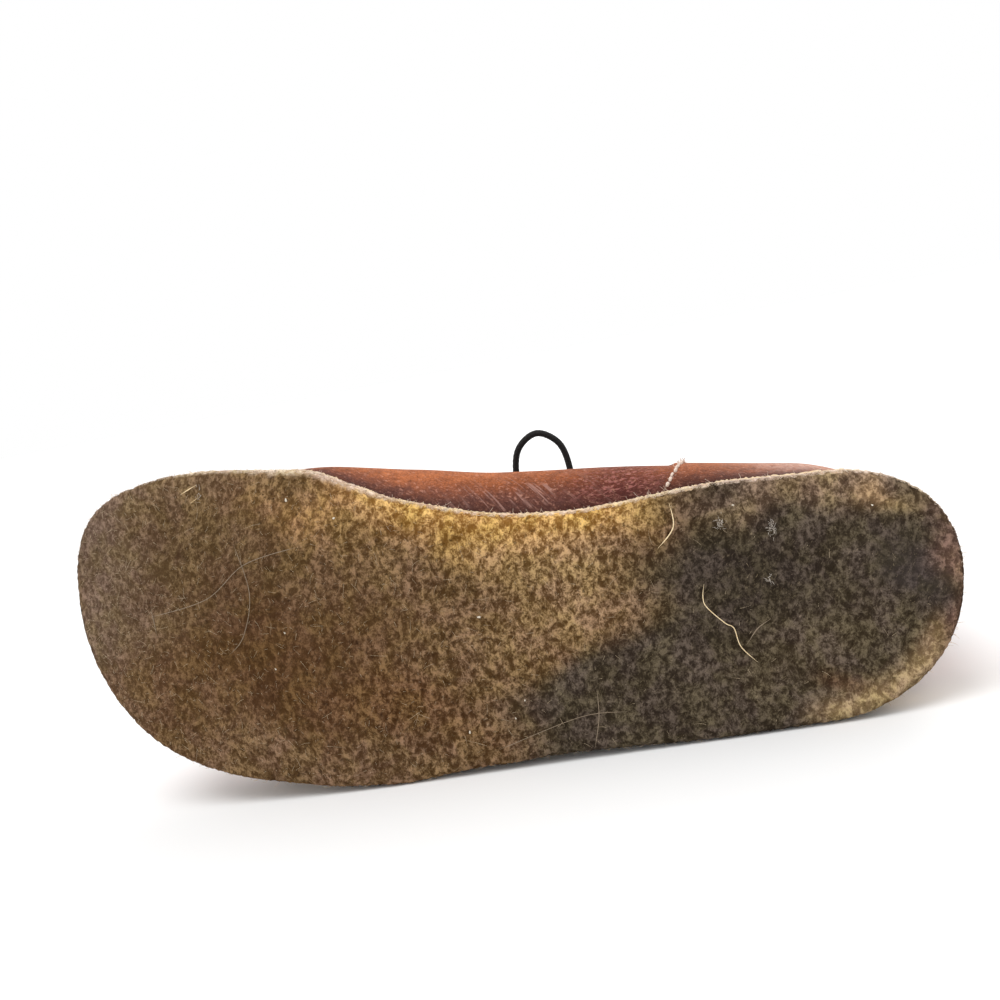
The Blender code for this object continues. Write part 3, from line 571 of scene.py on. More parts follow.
class Nodes:
    """Short ways to add nodes to the node tree of a material or of a modifier."""

    def __init__(self, tree):
        self.tree = tree

    def join(self, value, socket):
        """Links an output to a socket, or sets a constant on the socket itself."""
        if isinstance(value, bpy.types.NodeSocket):
            self.tree.links.new(value, socket)
        else:
            socket.default_value = value

    def add(self, kind, settings=None, **inputs):
        """A node with its settings, and inputs by name, or by place as _0, _1."""
        made = self.tree.nodes.new(kind)
        for name, value in (settings or {}).items():
            setattr(made, name, value)
        for name, value in inputs.items():
            self.join(value, made.inputs[int(name[1:]) if name[0] == "_" else name.replace("_", " ")])
        return made

    def kept(self, name, output="Fac"):
        """What the mesh keeps at each vertex under a name."""
        return self.add("ShaderNodeAttribute", {"attribute_name": name}).outputs[output]

    def maths(self, operation, first, second=0.0, clamp=False):
        settings = {"operation": operation, "use_clamp": clamp}
        return self.add("ShaderNodeMath", settings, _0=first, _1=second).outputs[0]

    def times(self, first, second):
        return self.maths("MULTIPLY", first, second)

    def plus(self, first, second, clamp=False):
        return self.maths("ADD", first, second, clamp)

    def total(self, *parts):
        """The sum of values times their weights, from pairs of the two."""
        result, *others = (self.times(value, weight) for value, weight in parts)
        for part in others:
            result = self.plus(result, part)
        return result

    def noise(self, vector, scale, detail=2.0, roughness=0.5, distortion=0.0):
        inputs = {"Scale": scale, "Detail": detail, "Roughness": roughness, "Distortion": distortion}
        return self.add("ShaderNodeTexNoise", Vector=vector, **inputs).outputs[0]

    def spread(self, value, low, high, to_low=0.0, to_high=1.0):
        """Maps low to high smoothly onto 0 to 1, or onto the limits given."""
        limits = {"From_Min": low, "From_Max": high, "To_Min": to_low, "To_Max": to_high}
        settings = {"interpolation_type": "SMOOTHSTEP"}
        return self.add("ShaderNodeMapRange", settings, Value=value, **limits).outputs[0]

    def mixed(self, factor, first, second, blend="MIX"):
        """Two colours mixed. A colour of three numbers is sRGB from 0 to 255."""
        settings = {"data_type": "RGBA", "blend_type": blend, "clamp_factor": False}
        first, second = (linear(c) if isinstance(c, tuple) and len(c) == 3 else c for c in (first, second))
        return self.add("ShaderNodeMix", settings, _0=factor, _6=first, _7=second).outputs[2]

    def stretched(self, vector, reach, turn=(0.0, 0.0, 0.0)):
        """Coordinates in a turned frame, divided by the reach along each of its axes."""
        settings = {"vector_type": "TEXTURE"}
        return self.add("ShaderNodeMapping", settings, Vector=vector, Rotation=turn, Scale=reach).outputs[0]


class Finish(Nodes):
    """A material with one shader."""

    def __init__(self, name):
        self.material = bpy.data.materials.new(name)
        self.material.use_nodes = True
        super().__init__(self.material.node_tree)

    def shaded(self, bump=None, **inputs):
        """The material, with its shader's inputs by name and a bump of (height, strength, distance)."""
        shader = self.tree.nodes["Principled BSDF"]
        for name, value in inputs.items():
            self.join(value, shader.inputs[name.replace("_", " ")])
        if bump:
            height, strength, distance = bump
            made = self.add("ShaderNodeBump", Height=height, Strength=strength, Distance=distance)
            self.join(made.outputs[0], shader.inputs["Normal"])
        return self.material


def crumb(nodes, rest):
    """Crumb of the crepe from 0 in its pits to 1 on its crests, for a shader or a geometry tree."""
    coarse = nodes.noise(rest, 0.37, 4.0, 0.70, 0.25)
    fine = nodes.noise(rest, 1.7, 2.0, 0.6, 0.3)
    worm = nodes.noise(rest, 0.24, 3.0, 0.6, 0.7)
    from_worm = nodes.maths("ABSOLUTE", nodes.maths("SUBTRACT", worm, 0.5))
    crest = nodes.spread(from_worm, 0.0, 0.13, 1.0, 0.0)
    return nodes.spread(nodes.total((coarse, 0.66), (fine, 0.22), (crest, 0.08)), 0.33, 0.62), fine


def crepe_material():
    """Dirty open crepe: crests and pits in the colours of the zone, pale fuzz over them."""
    nodes = Finish("crepe_tread_worn")
    rest, wear = nodes.kept("rest", "Vector"), nodes.kept("wear")
    height, _ = crumb(nodes, nodes.kept("grain", "Vector"))
    uneven = nodes.spread(nodes.noise(rest, 0.07, 3.0, 0.6, 0.5), 0.3, 0.7, -0.14, 0.14)
    level = nodes.maths("POWER", nodes.plus(height, uneven, True), 2.0)
    crisp = nodes.plus(nodes.times(level, 1.05), 0.04)
    worn = nodes.plus(nodes.times(level, 0.55), 0.26)
    factor = nodes.add("ShaderNodeMix", Factor=wear, _2=crisp, _3=worn).outputs[0]
    colour = nodes.mixed(factor, nodes.kept("tone_dark", "Color"), nodes.kept("tone_light", "Color"))
    pits = nodes.spread(nodes.noise(rest, 0.62, 3.0, 0.6, 0.2), 0.32, 0.42, 0.5, 0.0)
    colour = nodes.mixed(nodes.times(pits, nodes.maths("SUBTRACT", 1.0, wear)), colour, (34, 25, 16))
    strands = nodes.stretched(rest, (0.5, 1.6, 1.0), (0, 0, 0.7))
    fuzz = nodes.spread(nodes.noise(strands, 1.0, 3.0, 0.6, 1.2), 0.60, 0.76, 0.0, 0.38)
    colour = nodes.mixed(fuzz, colour, (176, 158, 132))
    tint = nodes.spread(nodes.noise(rest, 0.16, 3.0, 0.6), 0.56, 0.72, 0.0, 0.3)
    colour = nodes.mixed(tint, colour, (112, 84, 76), "MULTIPLY")
    warmth = nodes.spread(nodes.noise(rest, 0.09, 3.0, 0.6, 0.4), 0.35, 0.65)
    hue = nodes.mixed(warmth, (1.0, 0.96, 1.02, 1), (1.0, 1.0, 0.86, 1))
    colour = nodes.mixed(1.0, colour, hue, "MULTIPLY")
    shade = nodes.plus(nodes.times(nodes.noise(rest, 2.4, 2.0, 0.6), 0.60), 0.70)
    colour = nodes.mixed(1.0, colour, shade, "MULTIPLY")
    grain = nodes.total((height, 0.7), (nodes.noise(rest, 2.2, 3.0, 0.65), 1.0))
    return nodes.shaded((grain, 0.7, 0.0005), Base_Color=colour, Roughness=0.95, Specular_IOR_Level=0.02)


def edge_material():
    """Pale smooth crepe of the wedge, with faint layers and dirt."""
    nodes = Finish("crepe_edge_pale")
    rest = nodes.kept("rest", "Vector")
    layers = nodes.noise(nodes.stretched(rest, (8.0, 8.0, 2.0)), 1.0, 3.0, 0.6, 0.6)
    colour = nodes.mixed(nodes.spread(layers, 0.3, 0.7), (214, 184, 142), (228, 202, 162))
    patch = nodes.spread(nodes.noise(rest, 0.10, 4.0, 0.6, 0.5), 0.55, 0.78, 0.0, 0.35)
    colour = nodes.mixed(patch, colour, (170, 134, 94))
    grime = nodes.spread(nodes.noise(rest, 0.5, 3.0, 0.65, 0.3), 0.50, 0.64, 0.0, 0.38)
    colour = nodes.mixed(grime, colour, (164, 126, 98))
    return nodes.shaded(
        (nodes.plus(layers, nodes.noise(rest, 1.4, 3.0)), 0.35, 0.0003),
        Base_Color=colour,
        Roughness=0.62,
        Subsurface_Weight=0.08,
        Subsurface_Radius=(0.002, 0.0012, 0.0006),
    )


def leather_material(name, deep, warm, lit):
    """Oiled leather: plum to chestnut clouds, orange where it is rubbed and as a painted highlight on the
    upward bulge, pebbles, folds with a painted highlight on their ridges, flecks of painted highlight and
    painted shade low down, painted shade next to the sole, and scratches.
    """
    nodes = Finish(name)
    rest = nodes.kept("rest", "Vector")
    dry, net, matte = (nodes.kept(mark) for mark in ("dry", "net", "matte"))
    cloud = nodes.noise(rest, 0.035, 4.0, 0.62, 0.8)
    mottle = nodes.noise(rest, 0.22, 4.0, 0.66, 0.4)
    tone = nodes.total((cloud, 0.6), (mottle, 0.4))
    colour = nodes.mixed(nodes.spread(tone, 0.36, 0.62), deep, warm)
    # Orange where rubbed, on crease crests as well; on the upward bulge it is also a painted highlight.
    rub = nodes.plus(nodes.kept("rub"), nodes.kept("crest"), True)
    colour = nodes.mixed(nodes.times(rub, nodes.spread(mottle, 0.25, 0.75, 0.55, 1.0)), colour, lit)
    plum = nodes.times(dry, nodes.spread(mottle, 0.3, 0.7, 0.95, 0.6))
    colour = nodes.mixed(plum, colour, (108, 74, 68))
    colour = nodes.mixed(nodes.times(net, 0.7), colour, (86, 38, 35))
    cells = nodes.add("ShaderNodeTexVoronoi", {"feature": "DISTANCE_TO_EDGE"}, Vector=rest, Scale=0.75)
    pebble = nodes.spread(cells.outputs["Distance"], 0.0, 0.22)
    crack = nodes.maths("SUBTRACT", 1.0, pebble)
    colour = nodes.mixed(nodes.times(crack, 0.3), colour, (40, 18, 14))
    # The net's folds are pale along their ridges: a painted highlight.
    web = nodes.noise(nodes.stretched(rest, (2.6, 2.6, 1.2), (0.0, 0.3, 0.0)), 1.0, 3.0, 0.6, 1.0)
    folds = nodes.times(nodes.spread(web, 0.51, 0.62), net)
    colour = nodes.mixed(nodes.times(folds, 0.65), colour, (176, 114, 106))
    haze = nodes.spread(nodes.noise(rest, 0.5, 4.0, 0.7, 0.5), 0.38, 0.62, 0.25, 0.8)
    colour = nodes.mixed(nodes.times(haze, nodes.kept("dust")), colour, (214, 182, 168))
    # Pale and dark flecks low on the side: painted highlights and painted shade of fine wrinkles.
    flecks = nodes.noise(nodes.stretched(rest, (1.7, 1.7, 1.0), (0.0, -0.5, 0.0)), 1.0, 3.0, 0.65, 0.6)
    pale = nodes.times(nodes.spread(flecks, 0.55, 0.70, 0.0, 0.5), matte)
    colour = nodes.mixed(pale, colour, (206, 150, 128))
    fleck_shade = nodes.times(nodes.spread(flecks, 0.30, 0.45, 0.5, 0.0), matte)
    colour = nodes.mixed(fleck_shade, colour, (60, 33, 28))
    # Painted shade: darker next to the sole, where the leather meets the rim.
    colour = nodes.mixed(nodes.kept("sunk"), colour, (48, 29, 25))
    lines = nodes.noise(nodes.stretched(rest, (24.0, 24.0, 1.3), (0.0, -0.8, 0.0)), 1.0, 2.0, 0.5, 0.15)
    breaks = nodes.spread(nodes.noise(rest, 0.16, 2.0, 0.5), 0.36, 0.6)
    scratches = nodes.times(nodes.spread(lines, 0.52, 0.70, 0.0, 0.65), breaks)
    scratches = nodes.times(scratches, nodes.kept("scuff"))
    colour = nodes.mixed(scratches, colour, (186, 146, 134))
    wrinkle = nodes.noise(nodes.stretched(rest, (2.0, 4.0, 4.0), (0.0, -0.6, 0.0)), 1.0, 3.0, 0.6, 0.8)
    return nodes.shaded(
        (nodes.total((pebble, 0.45), (wrinkle, 0.9), (folds, 0.9), (scratches, 1.0)), 0.45, 0.0005),
        Base_Color=colour,
        Roughness=nodes.plus(nodes.total((mottle, 0.2), (dry, 0.2)), 0.42),
        Specular_IOR_Level=nodes.spread(matte, 0.0, 1.0, 0.25, 0.02),
    )


def plain_leather(name, light, dark, roughness):
    """Undyed leather of lining and insole."""
    nodes = Finish(name)
    rest = nodes.kept("rest", "Vector")
    cloud = nodes.noise(rest, 0.06, 4.0, 0.6, 0.4)
    fleck = nodes.noise(rest, 1.4, 3.0, 0.6)
    colour = nodes.mixed(nodes.spread(cloud, 0.35, 0.68), light, dark)
    colour = nodes.mixed(nodes.spread(fleck, 0.55, 0.75, 0.0, 0.4), colour, dark)
    return nodes.shaded((nodes.plus(fleck, cloud), 0.3, 0.0003), Base_Color=colour, Roughness=roughness)


def thread_material(name, light, dark, scale):
    """Twisted or woven thread: light crests and dark hollows of a fine noise."""
    nodes = Finish(name)
    fibre = nodes.noise(nodes.add("ShaderNodeTexCoord").outputs["Object"], scale, 3.0, 0.7)
    return nodes.shaded(
        (fibre, 0.5, 0.0002),
        Base_Color=nodes.mixed(nodes.spread(fibre, 0.32, 0.68), dark, light),
        Roughness=0.75,
        Sheen_Weight=0.05,
        Specular_IOR_Level=0.25,
    )


def glossy_material(name, light, dark):
    """Hard plastic, a little worn."""
    nodes = Finish(name)
    worn = nodes.noise(nodes.add("ShaderNodeTexCoord").outputs["Object"], 900.0, 3.0, 0.6)
    return nodes.shaded((worn, 0.15, 0.0001), Base_Color=nodes.mixed(worn, dark, light), Roughness=0.28)


# Building blocks


def linked(name, data):
    """A new object in the scene."""
    made = bpy.data.objects.new(name, data)
    bpy.context.scene.collection.objects.link(made)
    return made


def mesh_object(name, points, faces, finishes, lay=True):
    """A mesh piece from points and faces. The boot's own frame is laid down by the object."""
    mesh = bpy.data.meshes.new(name)
    mesh.from_pydata([tuple(p) for p in points], [], faces)
    mesh.validate()
    mesh.shade_smooth()
    for finish in finishes:
        mesh.materials.append(finish)
    made = linked(name, mesh)
    if lay:
        made.matrix_world = LYING
    return made


def outward(made):
    bm = bmesh.new()
    bm.from_mesh(made.data)
    bmesh.ops.recalc_face_normals(bm, faces=bm.faces)
    bm.to_mesh(made.data)
    bm.free()
    return made


def applied(made):
    """Replaces an object's mesh by its mesh with modifiers."""
    bpy.context.view_layer.update()
    graph = bpy.context.evaluated_depsgraph_get()
    shown = made.evaluated_get(graph)
    mesh = bpy.data.meshes.new_from_object(shown, preserve_all_data_layers=True, depsgraph=graph)
    made.modifiers.clear()
    made.data = mesh
    return made


def positions(mesh):
    flat = np.empty(3 * len(mesh.vertices), np.float32)
    mesh.vertices.foreach_get("co", flat)
    return flat.reshape(-1, 3).astype(float)


def move_points(mesh, places):
    mesh.vertices.foreach_set("co", places.astype(np.float32).ravel())


def normals_of(mesh):
    flat = np.empty(3 * len(mesh.vertices), np.float32)
    mesh.vertex_normals.foreach_get("vector", flat)
    return flat.reshape(-1, 3)


def store(mesh, **marks):
    """Keeps one value, vector or colour for each vertex under each name."""
    kinds = {1: ("FLOAT", "value"), 3: ("FLOAT_VECTOR", "vector"), 4: ("FLOAT_COLOR", "color")}
    for name, values in marks.items():
        values = np.asarray(values, np.float32)
        kind, field = kinds[1 if values.ndim == 1 else values.shape[1]]
        layer = mesh.attributes.get(name) or mesh.attributes.new(name, kind, "POINT")
        layer.data.foreach_set(field, values.ravel())


def store_rest(mesh):
    store(mesh, rest=positions(mesh) / MM)


def ride(made, slot, *nodes):
    """Puts a piece's place into its mesh, no lower than the floor, and lets it ride on the boot's body."""
    made.data.transform(made.matrix_world)
    made.matrix_world = Matrix.Identity(4)
    places = positions(made.data)
    places[:, 2] = np.maximum(places[:, 2], 0.0)
    move_points(made.data, places)
    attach(made, "root")
    if nodes:
        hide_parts(*nodes)
    return made


def loft_faces(rings, count, closed=True):
    """Quads between rings of count points, and one face at each end."""
    faces = []
    for ring in range(rings - 1):
        first, second = ring * count, (ring + 1) * count
        for i in range(count if closed else count - 1):
            j = (i + 1) % count
            faces.append((first + i, first + j, second + j, second + i))
    if closed:
        faces.append(tuple(range(count))[::-1])
        faces.append(tuple(range((rings - 1) * count, rings * count)))
    return faces


def lofted(name, rings, finish, closed=True):
    """A piece through rings of points, which keeps its rest places."""
    faces = loft_faces(len(rings), len(rings[0]), closed)
    made = mesh_object(name, np.concatenate(rings), faces, [finish])
    if closed:
        outward(made)
    store_rest(made.data)
    return made


def search_tree(points):
    tree = kdtree.KDTree(len(points))
    for i, place in enumerate(points):
        tree.insert(place, i)
    tree.balance()
    return tree


def outline_stations(step):
    """Stations from heel to toe that are step apart along the sole's outline."""
    x = LENGTH * (1 - np.cos(np.linspace(0, np.pi, 20001))) / 2
    run = np.zeros(len(x))
    for side in (1, -1):
        y = sole_edge(x, side)
        run[1:] += np.hypot(np.diff(x), np.diff(y)) / 2
    run = np.cumsum(run)
    count = int(run[-1] / step)
    return np.interp((np.arange(count) + 0.5) * run[-1] / count, run, x)


# Sole


TREAD_STEP = 0.00078
TREAD_COLUMNS = 138
WALL_STEPS = 7
CRUMB_DEPTH = 0.00042
RIM_ROUGHNESS = 1.1
GRAIN_TURN, GRAIN_DRAWN = 85.0, 1.08
WEDGE_STEP = 0.0006
WEDGE_BUMP = 0.0013
WEDGE_ROUGHNESS = 0.0007
WEDGE_SOFTNESS = 0.0011
WEDGE_SWELL = 0.0002
INSOLE_SOFTNESS = 0.0012


def smooth_series(spacing, reach, low, high):
    """A smooth random series over the sole's length, as a function of x in mm."""
    knots = np.arange(-10.0, 320.0, spacing)
    values = rng.uniform(low, high, len(knots))
    soft = np.convolve(values, np.hanning(reach + 2) / np.hanning(reach + 2).sum(), "same")
    return lambda x: np.interp(x, knots, soft)


class Tones:
    """Light and dark of the crumb and its wear at each point, painted over one another."""

    def __init__(self, count):
        self.light = np.tile(linear(BASE_LIGHT), (count, 1))
        self.dark = np.tile(linear(BASE_DARK), (count, 1))
        self.wear = np.zeros(count)

    def paint(self, weight, light, dark, wear=0.0):
        share = weight[:, None]
        self.light = self.light * (1 - share) + np.array(linear(light)) * share
        self.dark = self.dark * (1 - share) + np.array(linear(dark)) * share
        self.wear = self.wear * (1 - weight) + wear * weight

    def soften(self, weight):
        """Draws light and dark together."""
        middle = self.dark + 0.45 * (self.light - self.dark)
        share = weight[:, None]
        self.light = self.light * (1 - share) + middle * share
        self.dark = self.dark * (1 - share) + middle * share


def zone_colours(rest, from_edge, on_wall):
    """The crumb's tones from the zones, the dark heel, the rubbed crescent and the rim."""
    true_x, true_y = rest[:, 0], rest[:, 1]
    x = true_x + 5 * np.sin(true_y / 9.0 + 0.6) + 3 * np.sin(true_y / 4.1 + true_x / 13.0)
    y = true_y + 4 * np.sin(x / 11.0 + 1.2) + 2 * np.sin(x / 5.3 - true_y / 7.0)
    tones = Tones(len(x))

    def paint_zones(zones):
        for zone in zones:
            away = ((x - zone.x) / zone.reach_x) ** 2 + ((y - zone.y) / zone.reach_y) ** 2
            tones.paint(zone.strength * np.exp(-(away**1.3)), zone.light, zone.dark, zone.wear)

    paint_zones(ZONES)
    tones.soften(FORE_SOFTNESS * eased((true_x - 165) / 50))
    band = bell(from_edge, 0, GOLD_WIDTH) * eased(true_y / 18)
    band = band * eased((true_x - 84) / 30) * eased((214 - true_x) / 44)
    tones.paint(0.85 * band, GOLD_LIGHT, GOLD_DARK)
    half_warped = (y + true_y) / 2
    front = STAIN_FRONT + STAIN_FORWARD * eased((STAIN_BEND - half_warped) / STAIN_BEND_RUN)
    front = front - STAIN_BACKWARD * eased((half_warped - STAIN_INNER_BEND) / STAIN_INNER_RUN)
    stain = eased((front - (x + true_x) / 2) / STAIN_SOFTNESS + 0.5)
    tones.paint(stain, STAIN_LIGHT, STAIN_DARK)
    paint_zones(HEEL_ZONES)
    along = eased((true_x - 4) / 6) * eased((56 - true_x) / 18) * eased((5 - true_y) / 10)
    crescent = bell(from_edge, CRESCENT_INSET, CRESCENT_WIDTH) * along
    tones.paint(0.9 * crescent, CRESCENT_LIGHT, CRESCENT_DARK, 0.45)
    inner = eased((true_y - 0.02 * true_x) / 30) * eased((264 - true_x) / 14)
    ragged = smooth_series(0.5, 2, 0.1, 1.0)(true_x)
    torn = bell(true_x, TORN_MIDDLE, TORN_REACH)
    reach = 0.03 + 1.4 * ragged * torn
    rim = bell(from_edge, 0, reach) * np.maximum(eased((ragged - 0.45) / 0.3), torn)
    rim = np.where(on_wall, 0.35 + 0.65 * ragged, rim)
    tones.paint(0.95 * rim * inner, RIM_LIGHT, RIM_DARK)
    return tones


def grain_places(rest):
    """Coordinates of the crumb: finer at the toe, and drawn out along one slanting direction."""
    x = np.linspace(-20, 340, 3601)
    fineness = 1 + 0.4 * eased((x - 200) / 60)
    run = np.concatenate([[0], np.cumsum((fineness[1:] + fineness[:-1]) / 2 * np.diff(x))])
    along = np.interp(rest[:, 0], x, run)
    across = rest[:, 1] * np.interp(rest[:, 0], x, fineness)
    turn = math.radians(GRAIN_TURN)
    drawn = (along * math.cos(turn) + across * math.sin(turn)) / GRAIN_DRAWN
    squeezed = (across * math.cos(turn) - along * math.sin(turn)) * GRAIN_DRAWN
    return np.stack([drawn, squeezed, rest[:, 2]], axis=1)


def crumb_geometry():
    """Geometry nodes that raise the crests and sink the pits of the crumb."""
    group = bpy.data.node_groups.new("crumb_relief", "GeometryNodeTree")
    for way in ("INPUT", "OUTPUT"):
        group.interface.new_socket("Geometry", in_out=way, socket_type="NodeSocketGeometry")
    nodes = Nodes(group)

    def kept(name, kind):
        return nodes.add("GeometryNodeInputNamedAttribute", {"data_type": kind}, Name=name).outputs[0]

    height, fine = crumb(nodes, kept("grain", "FLOAT_VECTOR"))
    rise = nodes.plus(nodes.maths("SUBTRACT", height, 0.6), nodes.maths("SUBTRACT", fine, 0.5))
    rise = nodes.times(rise, kept("depth", "FLOAT"))
    normal = nodes.add("GeometryNodeInputNormal").outputs[0]
    offset = nodes.add("ShaderNodeVectorMath", {"operation": "SCALE"}, _0=normal, Scale=rise).outputs[0]
    entry = nodes.add("NodeGroupInput").outputs[0]
    moved = nodes.add("GeometryNodeSetPosition", Geometry=entry, Offset=offset).outputs[0]
    nodes.add("NodeGroupOutput", _0=moved)
    return group


def crepe_tread(finish):
    """The outsole as a fine grid over its outline, with a soft lower edge, walls and the crumb's relief."""
    stations = outline_stations(TREAD_STEP)
    across = np.linspace(1, 0, TREAD_COLUMNS)
    rows, rims = [], []
    for x in stations:
        medial, lateral = sole_edge(x, 1), sole_edge(x, -1)
        y = lateral + (medial - lateral) * across
        rows.append(np.stack([np.full_like(y, x), y], axis=1))
        rims += [(x, medial, 0), (x, lateral, 0)]
    tree = search_tree(rims)
    flat = np.concatenate(rows)
    from_edge = np.array([tree.find((x, y, 0))[2] for x, y in flat])
    short = np.clip(1 - from_edge / EDGE_ROUND, 0, 1)
    z = tread(flat[:, 0], flat[:, 1]) + EDGE_ROUND * (1 - np.sqrt(1 - short**2))
    grid = np.concatenate([flat, z[:, None]], axis=1).reshape(len(stations), TREAD_COLUMNS, 3)
    climb = np.linspace(0, 1, WALL_STEPS + 1)[1:]
    rings = []
    for row, x in zip(grid, stations):
        walls = []
        for corner in (row[0], row[-1]):
            wall = np.tile(corner, (WALL_STEPS, 1))
            wall[:, 2] += climb * (outsole_top(x) - corner[2])
            walls.append(wall)
        rings.append(np.concatenate([walls[0][::-1], row, walls[1]]))
    made = lofted("crepe_tread", rings, finish)
    points = np.concatenate(rings)
    beside = ((0, 0), (WALL_STEPS, WALL_STEPS))
    edge = np.pad(from_edge.reshape(len(rings), -1), beside).ravel() / MM
    on_wall = np.pad(np.zeros((len(rings), TREAD_COLUMNS)), beside, constant_values=1).ravel() > 0
    tones = zone_colours(points / MM, edge, on_wall)
    under_wedge = points[:, 2] > outsole_top(points[:, 0]) - 0.0008
    rough_rim = 1 + RIM_ROUGHNESS * bell(edge, 0, 0.8) * eased(points[:, 1] / 0.03)
    store(
        made.data,
        grain=grain_places(points / MM),
        tone_light=tones.light,
        tone_dark=tones.dark,
        wear=tones.wear,
        depth=np.where(under_wedge, 0.0, CRUMB_DEPTH * (1 - 0.8 * tones.wear) * rough_rim),
    )
    made.modifiers.new("crumb", "NODES").node_group = crumb_geometry()
    return ride(applied(made), "crepe_tread", "outsole")


def wedge_edge(finish):
    """The pale wedge with a slightly swelling, soft-edged, rough side."""
    heights = np.concatenate([[0.0, 0.02, 0.06], np.linspace(0.14, 0.86, 7), [0.94, 0.98, 1.0]])
    inset = MIDSOLE_INSET + WEDGE_SOFTNESS * np.abs(2 * heights - 1) ** 5 - WEDGE_SWELL
    rings = []
    for x in outline_stations(WEDGE_STEP)[1:-1]:
        low, high = outsole_top(x) + 0.0001, midsole_top(x)
        z = low + (high - low) * heights
        up, down = (np.stack([np.full_like(z, x), sole_edge(x, side, inset), z], axis=1) for side in (1, -1))
        rings.append(np.concatenate([up, down[::-1]]))
    made = lofted("wedge_edge", rings, finish)
    places = positions(made.data)
    bumps = np.array([turbulence(Vector(p) / WEDGE_BUMP, 3, False) for p in places])
    places += WEDGE_ROUGHNESS * normals_of(made.data) * (bumps[:, None] - 0.3)
    move_points(made.data, places)
    return ride(made, "crepe_edge", "midsole")


def insole_sock(finish):
    """The leather sock on the insole board, dished under heel and ball."""
    first = float(back(seat(0.0))) + 2 * INSOLE_CLEARANCE
    last = FIRST_X - 2 * INSOLE_CLEARANCE
    spread_out = np.linspace(-1, 1, 33)
    sink = INSOLE_DISH * (1 - np.abs(spread_out) ** 4)
    rings = []
    for turn in np.linspace(0.02, np.pi - 0.02, 110):
        x = first + (last - first) * (1 - np.cos(turn)) / 2
        low = float(seat(x))
        top = low + INSOLE_THICKNESS
        medial = min(float(last_side(x, z, 1)) for z in (low, top))
        lateral = max(float(last_side(x, z, -1)) for z in (low, top))
        middle, half = (medial + lateral) / 2, (medial - lateral) / 2
        half *= 1 - INSOLE_CLEARANCE / max(half, 2 * INSOLE_CLEARANCE)
        z = top - sink - INSOLE_SOFTNESS * np.abs(spread_out) ** 16
        upper_side = np.stack([np.full_like(z, x), middle + spread_out * half, z], axis=1)
        rings.append(np.concatenate([upper_side, [(x, middle + half, low), (x, middle - half, low)]]))
    return ride(lofted("insole_sock", rings, finish), "insole_leather", "insole")


# Upper


SPAN_ROWS = (10, 14, 20, 26, 28, 28, 26, 24, 22, 18, 18)
SIDE_COLUMNS = 62
THROAT_COLUMNS = 9


def upper_rows():
    rows = [-0.95, -0.88, -0.8, -0.7, -0.6, -0.48, -0.36, -0.24, -0.12]
    for span, count in enumerate(SPAN_ROWS):
        share = np.arange(count) / count
        if span == 0:
            share = share**1.45
        elif span == HEEL - 1:
            share = 1 - (1 - share) ** 1.45
        rows += list(span + share)
    close_to_seam = (-0.024, -0.012, -0.006, 0.0025, 0.006, 0.010, 0.015, 0.024)
    close_to_collar = (-0.035, -0.02, -0.009, -0.003, 0.0)
    rows += [SEAM + d for d in close_to_seam] + [COLLAR + d for d in close_to_collar]
    return sorted(rows)


def section_shares(number, side):
    edge = float(share_at_breadth(number, side, float(section_throat(max(number, 0)))))
    over = edge * (np.arange(THROAT_COLUMNS) / THROAT_COLUMNS) ** 1.5
    turn = np.pi * np.linspace(0, 1, SIDE_COLUMNS + 1)
    round_back = eased((number - SEAM) / (HEEL - SEAM))
    at_top, at_both = 1 - np.cos(turn / 2), (1 - np.cos(turn)) / 2
    down = at_top + (at_both - at_top) * round_back
    down = 0.35 * down + 0.65 * np.linspace(0, 1, SIDE_COLUMNS + 1) if number < 0 else down
    return np.concatenate([over, edge + (1 - edge) * down])


def crease_line(crease, side):
    """Points of a crease on one side, from its upper end down."""
    share = np.linspace(crease.first, crease.last, 90)
    wave = 0.05 * np.sin(5 * share + 9 * crease.top) * share
    number = crease.top + (crease.low - crease.top) * share + wave
    return [section_points(n, side, s)[0] for n, s in zip(number, share)]


def crease_relief(points):
    """How far each point sinks or rises for the creases, along its normal."""
    move = np.zeros(len(points))
    for crease in CREASES:
        if crease.side:
            line = crease_line(crease, crease.side)
        else:
            line = crease_line(crease, 1)[::-1] + crease_line(crease, -1)[1:]
        tree = search_tree(line)
        near = np.array([tree.find(p)[1:] for p in points])
        along = near[:, 0] / (len(line) - 1)
        wide = near[:, 1] / crease.width
        trough = 0.45 * bell(wide, 1.7, 0.8) - bell(wide, 0, 1)
        move += crease.depth * trough * eased(np.minimum(along, 1 - along) * 3)
    return move


def eyelet_reach(number):
    """Distance of a lace hole from the ridge."""
    return float(section_throat(number)) + EYELET_SETBACK


def lace_hole_cutter():
    """Four short rods across the wall, one at each hole of the lace."""
    rods = Bundle()
    for number in EYELET_SECTIONS:
        for side in (1, -1):
            inner, outer = (lifted(number, side * eyelet_reach(number), lift)[0] for lift in (-0.004, 0.008))
            rods.add(np.linspace(inner, outer, 3), np.full(3, EYELET_RADIUS), 24)
    return rods.piece("lace_hole_cutter")


def wall_share(number, column):
    """Share of the quarter's step at a point of the upper: none on the vamp, less at the free edges."""
    if number <= SEAM + 0.02:
        return float(eased((number - SEAM) / 0.012))
    edge = min(1.0, (column - THROAT_COLUMNS) / 2.2, (COLLAR - number) / 0.03)
    return 0.62 + 0.38 * math.sqrt(max(0.0, 1 - (1 - max(edge, 0.0)) ** 2))


